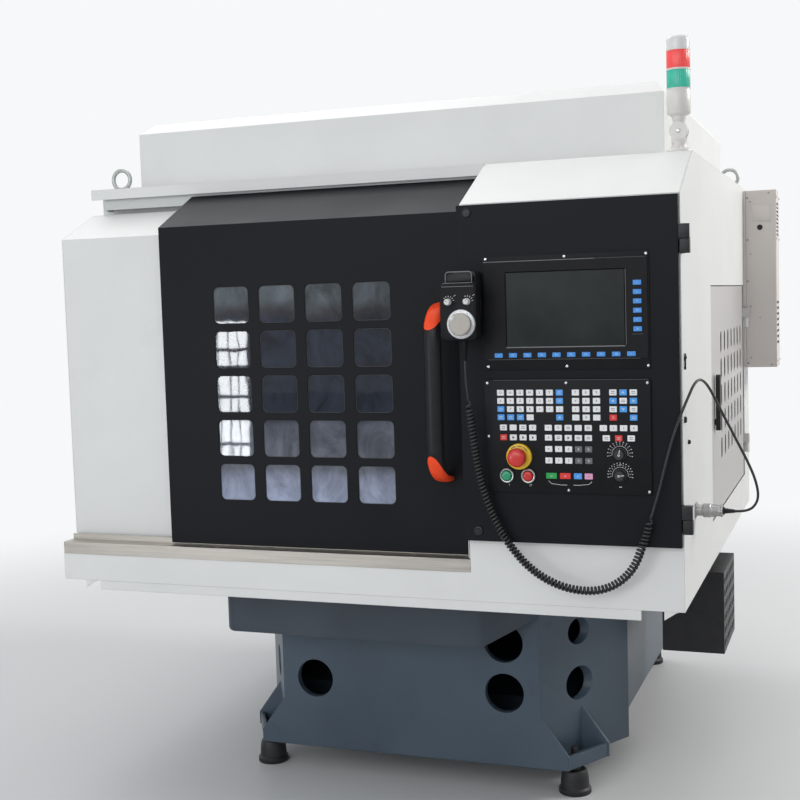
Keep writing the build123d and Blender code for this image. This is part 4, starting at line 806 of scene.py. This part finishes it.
for name, z, heading in (("feed_dial", FEED_Z, 12), ("spindle_dial", SPINDLE_Z, 82)):
    turning(name + "_knob", "dial_black", name, (DIAL_X, UNIT_FACE, z), "y",
            [(0, 24), (6, 24), (6, -0.6), (14, -0.6), (14, -2.6), (12.4, -3.6), (11.4, -14.6),
             (10.2, -16), (0, -16)], 72, 18, 0.35, replaces=name)
    bm = bmesh.new()
    angle = math.radians(heading)
    tick(bm, DIAL_X, z, angle, -1.5, 11, 1.7, UNIT_FACE - 15.9, UNIT_FACE - 16.2)
    turned(bm, (DIAL_X - math.sin(angle), UNIT_FACE, z - math.cos(angle)), "y",
           [(0, -15.9), (2.6, -15.9), (2.6, -16.2), (0, -16.2)], 16)
    piece(name + "_pointer", bm, "ink_white", name, slot="dial_black")


# Hand pendant in its holder
PENDANT_X = RIGHT - 467
PENDANT_BACK, PENDANT_FRONT = FRONT - 62, FRONT - 98
PENDANT_BOTTOM, PENDANT_TOP = 1151, 1279
KNOB_Z = 1237
WHEEL = (RIGHT - 459, PENDANT_FRONT, 1188)
bm = bmesh.new()
shell = (PENDANT_X - 43, PENDANT_X + 43, PENDANT_BOTTOM, PENDANT_TOP)
loft(bm, [rect("y", grown(shell, -inset), corner, y, 6)
          for inset, corner, y in ((3, 10, PENDANT_BACK), (0.8, 12, PENDANT_BACK - 2),
                                   (0, 12, PENDANT_BACK - 5), (0, 12, PENDANT_FRONT + 14),
                                   (0.7, 11.5, PENDANT_FRONT + 13.4),
                                   (0.7, 11.5, PENDANT_FRONT + 5), (1.8, 10.5, PENDANT_FRONT + 2),
                                   (4.2, 8.5, PENDANT_FRONT))])
relief_steps = []
for k in range(12):
    top, radius = 1 - 3.7 * k, 8 - 0.33 * k
    relief_steps += [(radius, top), (radius, top - 2.3), (radius - 1.1, top - 2.6),
                     (radius - 1.1, top - 3.4)]
turned(bm, (RELIEF_X, RELIEF_Y, PENDANT_BOTTOM), "z",
       [(0, 2)] + relief_steps + [(3.4, LEAD_END - PENDANT_BOTTOM), (0, LEAD_END - PENDANT_BOTTOM)],
       20)
piece("pendant_case", bm, "pendant_plastic", "control_door", slot="panel_plastic",
      replaces="pendant_body", smooth=40)
# Two thin ridges across the pendant's top, pale as a painted highlight of its edge
bm = bmesh.new()
for reach, drop, width, back, face in ((33, 1.2, 1.2, 4, 1.6), (36, 9, 1.1, 1, -0.3)):
    bar(bm, PENDANT_X - reach, PENDANT_TOP - drop, PENDANT_X + reach, PENDANT_TOP - drop, width,
        PENDANT_FRONT + back, PENDANT_FRONT + face)
piece("pendant_ridge_highlight", bm, "painted_edge_highlight", "control_door", slot="panel_plastic")
bm = bmesh.new()
for x, first, last, count in ((PENDANT_X - 21, -50, 75, 6), (PENDANT_X + 22, -20, 80, 5)):
    dial_marks(bm, x, KNOB_Z, PENDANT_FRONT, 10.5, 3.2, first, last, count, 1.2)
    bar(bm, x + 12, KNOB_Z + 12, x + 17, KNOB_Z + 15, 0.8, PENDANT_FRONT, PENDANT_FRONT - 0.15)
piece("pendant_print", bm, "ink_white", "control_door", slot="panel_plastic")
bm = bmesh.new()
for left, right, low, high, *form in (
        (-23, 31, -80, 24, 8, PANEL_FACE, PANEL_FACE - 3, 0.8),
        (-23, 31, -40, 24, 8, PANEL_FACE, PENDANT_BACK, 0.8),
        (-29, 29, 0.3, 18, 7, PENDANT_BACK + 3, PENDANT_FRONT + 14, 1.5, 6)):
    plate(bm, "y", (PENDANT_X + left, PENDANT_X + right, PENDANT_TOP + low, PENDANT_TOP + high),
          *form)
piece("pendant_cradle", bm, "trim_black", "control_door", replaces="pendant_holder")
# A thin hoop on the black cradle, pale as a painted highlight of its outline
hoop = []
for corner_x, start in ((PENDANT_X + 23, 0), (PENDANT_X - 23, 90)):
    for angle in [math.radians(start + 15 * k) for k in range(7)]:
        hoop.append(Vector((corner_x + 7 * math.cos(angle), PENDANT_FRONT + 11,
                            PENDANT_TOP + 16 + 7 * math.sin(angle))))
foot = Vector((0, 0, -16))
bm = bmesh.new()
tube(bm, [hoop[0] + foot] + hoop + [hoop[-1] + foot], 1.2, 10)
piece("cradle_hoop_highlight", bm, "painted_edge_highlight", "control_door", slot="trim_black", smooth=60)
turning("wheel_ring", "wheel_metal", "handwheel", WHEEL, "y",
        [(0, -0.6), (32, -0.6), (32, -4.6), (31.3, -6.2), (29.8, -6.8), (24, -7.2), (0, -7.2)], 72,
        replaces="handwheel")
bm = bmesh.new()
for i in range(50):
    inner, width = (27.6, 0.5) if i % 5 else (26.6, 0.9)
    tick(bm, WHEEL[0], WHEEL[2], 2 * math.pi * i / 50, inner, 29.2, width, PENDANT_FRONT - 6.6,
         PENDANT_FRONT - 7.3)
piece("wheel_ticks", bm, "ink_dark", "handwheel", slot="wheel_metal")
turning("wheel_disc", "disc_grey", "handwheel", WHEEL, "y",
        [(0, -6.5), (24, -6.5), (25, -7.8), (25, -15.6), (24, -16.8), (22.2, -17), (21.6, -16.4),
         (0, -16.4)], 72, slot="wheel_metal")
turning("wheel_knob", "knob_white", "handwheel", (WHEEL[0] - 17, PENDANT_FRONT, WHEEL[2] + 13), "y",
        [(0, -15), (6.6, -15), (6.6, -17.4), (4.4, -17.8), (4.6, -18), (5.5, -18.6), (5.2, -19.2),
         (3.6, -20), (0, -20)], 28, slot="wheel_metal", smooth=50)
for name, x, heading in (("axis_knob", PENDANT_X - 21, -45), ("step_knob", PENDANT_X + 22, 20)):
    turning(name + "_cap", "knob_white", name, (x, PENDANT_FRONT, KNOB_Z), "y",
            [(0, 10), (4, 10), (4, -0.6), (7.5, -0.6), (7.5, -2), (7, -3), (6.6, -12.6),
             (5.6, -14), (0, -14)], 48, 16, 0.2, replaces=name)
    bm = bmesh.new()
    tick(bm, x, KNOB_Z, math.radians(heading), 0, 5.4, 0.9, PENDANT_FRONT - 13.9,
         PENDANT_FRONT - 14.15)
    piece(name + "_line", bm, "ink_dark", name, slot="knob_white")


# Hinges and locks of the control door
HINGE_HEIGHTS = (756, 1356)
for name, body, left, low, high, node in (
        ("hinge_upper_halves", "control_door", -2, 0, 31, "door_hinges"),
        ("hinge_lower_halves", "machine", 0.5, -31, -0.3, "fixed_hinges")):
    bm = bmesh.new()
    for z in HINGE_HEIGHTS:
        pin = (RIGHT + 12, FRONT - 12, z)
        block(bm, RIGHT + left, RIGHT + 21.5, FRONT - 22, FRONT - 3, z + low, z + high, 1.8, 3)
        turned(bm, pin, "z", [(0, low + 0.2), (9.8, low + 0.2), (9.8, high - 0.2), (0, high - 0.2)],
               32)
        if body == "machine":
            block(bm, RIGHT, RIGHT + 6, FRONT - 8, FRONT + 26, z + low, z + high, 1)
            turned(bm, pin, "z", [(0, -1), (4, -1), (4, 26), (0, 26)], 20)
            for drop in (9, 23):
                screw(bm, RIGHT + 6, FRONT + 15, z - drop, "x", 4, 1)
    piece(name, bm, "hinge_black", body, replaces=node)
bm = bmesh.new()
for z in HINGE_HEIGHTS:
    block(bm, RIGHT + 21, RIGHT + 22.6, FRONT - 20, FRONT - 5, z + 1.5, z + 29.5, 0.6)
piece("hinge_side_strips", bm, "shell_white", "control_door", slot="hinge_black")
for name, x, z, low, high in (("upper_lock", RIGHT - 466, 1433, -18, 0),
                              ("lower_lock", RIGHT - 456, 718, 0, 28)):
    bm = bmesh.new()
    turned(bm, (x, PANEL_FACE, z), "y",
           [(0, 26), (7.6, 26), (7.6, 0), (11, 0), (11, -1.6), (10, -3.4), (8.2, -4),
            (7.4, -3.2), (7, -2.6), (5.2, -2.6), (4.8, -3.6), (0, -3.8)])
    block(bm, x - 6, x + 6, FRONT + 3, FRONT + 6, z + low, z + high, 0.8)
    piece(name + "_barrel", bm, "lock_chrome", name, replaces=name)
    # The keyway is a near-black block of painted shade on the barrel's face
    bm = bmesh.new()
    block(bm, x - 0.8, x + 0.8, PANEL_FACE - 4, PANEL_FACE - 3, z - 3.4, z + 3.4, 0.2)
    piece(name + "_keyway", bm, "painted_hole_shade", name, slot="lock_chrome")


# Tower light: its heights are measured from the swivel
LAMP = (RIGHT - 34, FRONT + 250, 1611)
LAMP_X, LAMP_Y, SWIVEL = LAMP
bm = bmesh.new()
turned(bm, (LAMP_X, LAMP_Y, ROOF), "z",
       [(0, 0), (31, 0), (31, 3), (29.6, 6), (26, 8.5), (19, 11), (17.4, 15), (17, 26),
        (18.4, 30), (0, 30)], 56)
for side in (-1, 1):
    ear_y = LAMP_Y + side * 11.2
    turned(bm, (LAMP_X, ear_y, SWIVEL), "y",
           [(0, -3.6), (20.6, -3.6), (21, -3), (21, 2.2), (20.2, 3.4), (0, 3.4)][::side], 44)
    block(bm, LAMP_X - 16, LAMP_X + 16, ear_y - 3.4, ear_y + 3.4, ROOF + 20, SWIVEL - 6, 1.4)
piece("lamp_stand", bm, "lamp_white", "machine", slot="lamp_grey", replaces="lamp_foot", smooth=40)
bm = bmesh.new()
for angle in [math.radians(turn) for turn in (45, 165, 285)]:
    screw(bm, LAMP_X + 25 * math.cos(angle), LAMP_Y + 25 * math.sin(angle), ROOF + 8, "z", 3, 1)
screw(bm, LAMP_X, LAMP_Y - 14.6, SWIVEL, "y", 5.2, -1, head=3)
piece("lamp_stand_screws", bm, "bright_steel", "machine")
bm = bmesh.new()
turned(bm, LAMP, "y", [(0, -7.4), (20, -7.4), (20, 7.4), (0, 7.4)], 44)
turned(bm, LAMP, "z",
       [(0, 6), (12, 6), (13.4, 22), (15.8, 27), (16, 33), (20.5, 36), (25.4, 38), (27, 41),
        (27, 91), (26.4, 92), (26.4, 93), (27, 94), (27, 96), (0, 96)], 60)
for low, high in ((136.5, 140.5), (180.5, 184)):
    turned(bm, LAMP, "z", [(24, low), (27.2, low), (27.2, high), (24, high), (24, low)], 60)
piece("lamp_column", bm, "lamp_white", "lamp", replaces="lamp_body", smooth=40)
for name, low, high, mat, node in (("green_lens_ribbed", 96, 137, "lens_green", "green_lens"),
                                   ("red_lens_ribbed", 140, 181, "lens_red", "red_lens")):
    bm = bmesh.new()
    turned(bm, LAMP, "z", [(0, low), (26, low), (26.3, low + 1), (26.3, high - 1), (26, high),
                           (0, high)], 144, 36, 0.35)
    turned(bm, LAMP, "z", [(0, low + 2), (3, low + 2), (3, high - 2), (0, high - 2)], 12)
    piece(name, bm, mat, "lamp", replaces=node)
turning("lamp_dome", "lens_clear", "lamp", LAMP, "z",
        [(0, 183.5), (26, 183.5), (26.2, 203), (25.4, 208), (23, 211.6), (18, 214), (9, 214.8),
         (0, 215)], 60, replaces="lamp_cap", smooth=50)


# Screwed cover sheets on the back, the left side and the hood
SCREW_INSET = 14
SCREW_PITCH = 210


def cover(sheet_mesh, screw_mesh, axis, box, surface, outward):
    """A thin cover sheet on a face with screws round its edge."""
    face = surface + 1.6 * outward
    plate(sheet_mesh, axis, box, 6, surface - 0.3 * outward, face, 0.5)
    a0, a1, b0, b1 = grown(box, -SCREW_INSET)
    spots = set()
    for low, high, edges, along_a in ((a0, a1, (b0, b1), True), (b0, b1, (a0, a1), False)):
        steps = max(2, round((high - low) / SCREW_PITCH))
        for i in range(steps + 1):
            along = round(low + (high - low) * i / steps, 3)
            spots.update((along, across) if along_a else (across, along) for across in edges)
    for a, b in sorted(spots):
        at = {"x": (face, a, b), "y": (a, face, b), "z": (a, b, face)}[axis]
        screw(screw_mesh, *at, axis, 4.2, outward, head=2.2)


hood_low, hood_high = [[c / MM for c in corner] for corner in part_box("rear_hood")]
sheets, heads = bmesh.new(), bmesh.new()
for axis, box, surface, outward in (
        ("y", (LEFT + 55, LEFT + 785, 612, 1490), REAR, 1),
        ("y", (LEFT + 801, RIGHT - 55, 612, 1490), REAR, 1),
        ("x", (FRONT + 430, FRONT + 960, 640, 1490), LEFT, -1),
        ("x", (FRONT + 976, REAR - 50, 640, 1490), LEFT, -1),
        ("z", (hood_low[0] + 90, hood_high[0] - 90, hood_low[1] + 90, hood_high[1] - 90),
         hood_high[2], 1)):
    cover(sheets, heads, axis, box, surface, outward)
piece("cover_sheets", sheets, "shell_white", "machine", smooth=12)
piece("cover_screws", heads, "disc_grey", "machine", slot="bright_steel")
bm = bmesh.new()
for z in [700 + 22 * row for row in range(9)]:
    for x in (LEFT + 240, LEFT + 420, LEFT + 600):
        block(bm, x - 70, x + 70, REAR + 1.4, REAR + 5, z - 4, z + 4, 1.8)
piece("rear_louvres", bm, "shell_white", "machine")


# Heat exchanger: flange with a bare plate, screws, a dark strip of painted shade beside the flange,
# and plug
EXCHANGER_FRONT = FRONT + 1426
bm = bmesh.new()
block(bm, RIGHT + 0.2, RIGHT + 7, EXCHANGER_FRONT - 3.4, EXCHANGER_FRONT - 0.1, 999, 1550, 0.8)
plate(bm, "y", (RIGHT + 28, RIGHT + 84, 1455, 1507), 2, EXCHANGER_FRONT, EXCHANGER_FRONT - 0.8, 0.3)
piece("exchanger_flange", bm, "exchanger_grey", "machine")
bm = bmesh.new()
for x, z, radius in ((13, 1530, 3.6), (13, 1399, 3.6), (13, 1269, 3.6), (13, 1140, 3.6),
                     (13, 1010, 3.6), (22, 1518, 2.6), (22, 1354, 2.6), (22, 1190, 2.6),
                     (22, 1027, 2.6), (78, 1543, 2.6), (50, 1154, 2.6), (84, 1005, 2.6)):
    screw(bm, RIGHT + x, EXCHANGER_FRONT, z, "y", radius, -1, head=2)
for z in (1530, 1400, 1016):
    for y in (14, 130):
        screw(bm, RIGHT + 100, EXCHANGER_FRONT + y, z, "x", 3, 1, head=2)
piece("exchanger_screws", bm, "disc_grey", "machine", slot="bright_steel")
# A dark strip beside the flange is painted shade of the gap between flange and body
bm = bmesh.new()
block(bm, RIGHT + 7.2, RIGHT + 8.6, EXCHANGER_FRONT - 0.5, EXCHANGER_FRONT + 0.5, 1000, 1549)
piece("exchanger_seam_shade", bm, "disc_grey", "machine", slot="exchanger_grey")
turning("exchanger_plug", "trim_black", "machine", (RIGHT + 51, EXCHANGER_FRONT, 1437), "y",
        [(0, 0.5), (8.4, 0.5), (8.4, -1.4), (7.2, -2.4), (0, -2.8)], 32)

# Catch and bump stops on the right wall near the control door
bm = bmesh.new()
turned(bm, (RIGHT + 2.6, FRONT + 33, 1076), "z",
       [(0, 0), (1.6, 0), (2, 1), (2, 34), (1.6, 35), (0, 35)], 16)
for z in (1080, 1098):
    block(bm, RIGHT - 0.4, RIGHT + 3, FRONT + 30, FRONT + 36, z - 3, z + 3, 0.6)
turned(bm, (RIGHT, FRONT + 38, 1102), "x", [(0, -0.4), (3.4, -0.4), (3.8, 2.6), (3.4, 5), (0, 5.6)],
       20)
piece("wall_catch", bm, "trim_black", "machine")
bm = bmesh.new()
for y, z, radius in ((FRONT + 26, 968, 7), (FRONT + 84, 913, 5)):
    turned(bm, (RIGHT, y, z), "x",
           [(0, -0.3), (radius, -0.3), (radius, 3), (radius - 1.4, 5.4), (0, 6)], 24)
piece("wall_bumper", bm, "trim_black", "machine")


# Lifting eyes and levelling feet
EYE_RING = 26
EYE_HEIGHT = 32.5
bm = bmesh.new()
for x, y in ((LEFT + 37, FRONT + 300), (LEFT + 37, FRONT + 1420), (RIGHT - 40, FRONT + 1420)):
    turned(bm, (x, y, ROOF), "z", [(0, 0), (16, 0), (16, 4), (14.6, 5.4), (9.5, 6.4), (8, 9),
                                   (0, 10)], 36)
    centre = Vector((x, y, ROOF + EYE_HEIGHT))
    rings = []
    for a in [2 * math.pi * i / 48 for i in range(48)]:
        thick = 5.5 + 0.9 * max(0.0, -math.sin(a)) ** 6
        out = Vector((math.cos(a), 0, math.sin(a)))
        rings.append([centre + out * EYE_RING
                      + (out * math.cos(b) + Vector((0, math.sin(b), 0))) * thick
                      for b in [2 * math.pi * k / 16 for k in range(16)]])
    loft(bm, rings, wrap=True)
piece("eye_bolts", bm, "eye_steel", "machine", slot="bright_steel", replaces="lifting_eyes",
      smooth=60)
bm = bmesh.new()
for x in (-416.5, 421.5):
    for y in (FRONT + 310, FRONT + 1490):
        turned(bm, (x, y, 0), "z",
               [(0, 0), (40, 0), (41, 2), (40.6, 12), (36, 17), (34.5, 40), (32.4, 52), (30, 58),
                (27, 60), (15, 60), (14, 64), (9, 66), (9, 70), (0, 70)], 48)
        turned(bm, (x, y, 0), "z",
               [(0, 60), (8.5, 60)]
               + [(7.8 if k % 2 else 8.5, 64 + 1.5 * k) for k in range(34)]
               + [(7.6, 116), (0, 116)], 24)
        for z in (86, 62):
            turned(bm, (x, y, z), "z", [(8, 0), (14, 0), (15.2, 1.2), (15.2, 9), (14, 10),
                                        (8, 10), (8, 0)], 6)
piece("levelling_pads", bm, "foot_black", "machine", replaces="levelling_feet", smooth=30)


# Camera at the photograph's place
yaw, pitch, roll = math.radians(20.32), math.radians(-4.52), math.radians(-1.75)
forward = Vector((-math.sin(yaw) * math.cos(pitch), math.cos(yaw) * math.cos(pitch),
                  math.sin(pitch)))
across = Vector((math.cos(yaw), math.sin(yaw), 0))
upward = across.cross(forward)
cam_x = across * math.cos(roll) + upward * math.sin(roll)
cam_y = -across * math.sin(roll) + upward * math.cos(roll)
camera = bpy.data.objects.new("camera", bpy.data.cameras.new("camera"))
scene.collection.objects.link(camera)
place = Matrix((cam_x, cam_y, -forward)).transposed().to_4x4()
place.translation = Vector((1.12133, -3.48256, 1.24676))
camera.matrix_world = place
camera.data.sensor_width = 36
camera.data.lens = 57.47
camera.data.clip_end = 60
scene.camera = camera

# Floor that fades into the backdrop away from the machine, for the camera alone
BACKDROP = (0.93, 0.94, 0.95, 1)
bm = bmesh.new()
bmesh.ops.create_grid(bm, x_segments=24, y_segments=24, size=14)
floor_mesh = bpy.data.meshes.new("floor")
bm.to_mesh(floor_mesh)
bm.free()
floor = bpy.data.objects.new("floor", floor_mesh)
scene.collection.objects.link(floor)
floor_mat = bpy.data.materials.new("floor")
floor_mat.use_nodes = True
tree = floor_mat.node_tree
bsdf = tree.nodes["Principled BSDF"]
mottle = add(tree, "TexNoise", "Fac", {"Scale": 1.5})
feed(tree, bsdf, {"Base Color": ramp(tree, mottle, (0, (0.56, 0.565, 0.565)),
                                     (1, (0.62, 0.62, 0.615))), "Roughness": 0.55})
reach = add(tree, "VectorMath", "Value", {0: add(tree, "TexCoord", "Object")}, operation="LENGTH")
fade = add(tree, "MapRange", "Result", {"Value": reach, "From Min": 1.7, "From Max": 4.2},
           interpolation_type="SMOOTHSTEP")
share = add(tree, "Math", "Value", {0: fade, 1: add(tree, "LightPath", "Is Camera Ray")},
            operation="MULTIPLY")
pale = add(tree, "Emission", "Emission", {"Color": BACKDROP})
blend = add(tree, "MixShader", "Shader", {"Fac": share, 1: bsdf.outputs["BSDF"], 2: pale})
feed(tree, tree.nodes["Material Output"], {"Surface": blend})
floor_mesh.materials.append(floor_mat)

# World: soft light that is stronger from the left, and the backdrop where a ray sees it
world = bpy.data.worlds.new("world")
scene.world = world
world.use_nodes = True
tree = world.node_tree
soft = tree.nodes["Background"]
sideways = add(tree, "SeparateXYZ", "X", {"Vector": add(tree, "TexCoord", "Generated")})
strength = add(tree, "MapRange", "Result", {"Value": sideways, "From Min": 0.05, "From Max": 0.8,
                                            "To Min": 0.76, "To Max": 0.26})
feed(tree, soft, {"Color": (0.93, 0.96, 1.0, 1), "Strength": strength})
seen = add(tree, "Background", "Background", {"Color": BACKDROP})
glossy, clear, direct = [add(tree, "LightPath", "Is %s Ray" % kind)
                         for kind in ("Glossy", "Transmission", "Camera")]
either = add(tree, "Math", "Value", {0: glossy, 1: clear}, operation="MAXIMUM")
any_view = add(tree, "Math", "Value", {0: direct, 1: either}, operation="MAXIMUM")
pick = add(tree, "MixShader", "Shader", {"Fac": any_view, 1: soft.outputs["Background"], 2: seen})
feed(tree, tree.nodes["World Output"], {"Surface": pick})


def lamp(name, place, target, size, size_y, power, colour):
    """A soft rectangular lamp aimed at a point."""
    light = bpy.data.lights.new(name, "AREA")
    light.shape = "RECTANGLE"
    light.size = size
    light.size_y = size_y
    light.energy = power
    light.color = colour
    obj = bpy.data.objects.new(name, light)
    scene.collection.objects.link(obj)
    obj.location = place
    obj.rotation_euler = (Vector(target) - Vector(place)).to_track_quat("-Z", "Y").to_euler()


lamp("ceiling", (-0.3, 0.15, 4.6), (-0.2, 0.0, 0.8), 3.4, 3.0, 42, (1.0, 0.985, 0.96))
lamp("right_window", (4.0, 1.6, 3.3), (0.7, 0.2, 1.3), 2.0, 1.6, 135, (1.0, 0.98, 0.95))
lamp("front_fill", (-0.6, -5.4, 2.6), (-0.1, -0.6, 1.2), 3.4, 2.2, 62, (0.97, 0.98, 1.0))

# The panes of the window at the left, which the smoked pane mirrors as a lattice
WINDOW_POWER = 125
LIGHT_WIDTH, LIGHT_PITCH = 0.046, 0.062
for column in range(4):
    for row, (low, tall) in enumerate(((0.36, 0.08), (0.46, 0.15), (0.63, 0.08), (0.73, 0.15),
                                       (0.90, 0.08), (1.00, 0.15))):
        lamp("left_window_%d_%d" % (column, row),
             (-2.40 + LIGHT_PITCH * column, -4.35, low + tall / 2), (-0.35, -0.68, 1.03),
             LIGHT_WIDTH, tall, WINDOW_POWER * LIGHT_WIDTH * tall, (0.93, 0.965, 1.0))
lamp("skylight", (-1.9, 1.6, 4.2), (-0.3, -0.5, 1.3), 2.6, 1.6, 30, (0.97, 0.985, 1.0))

scene.view_settings.view_transform = "Standard"
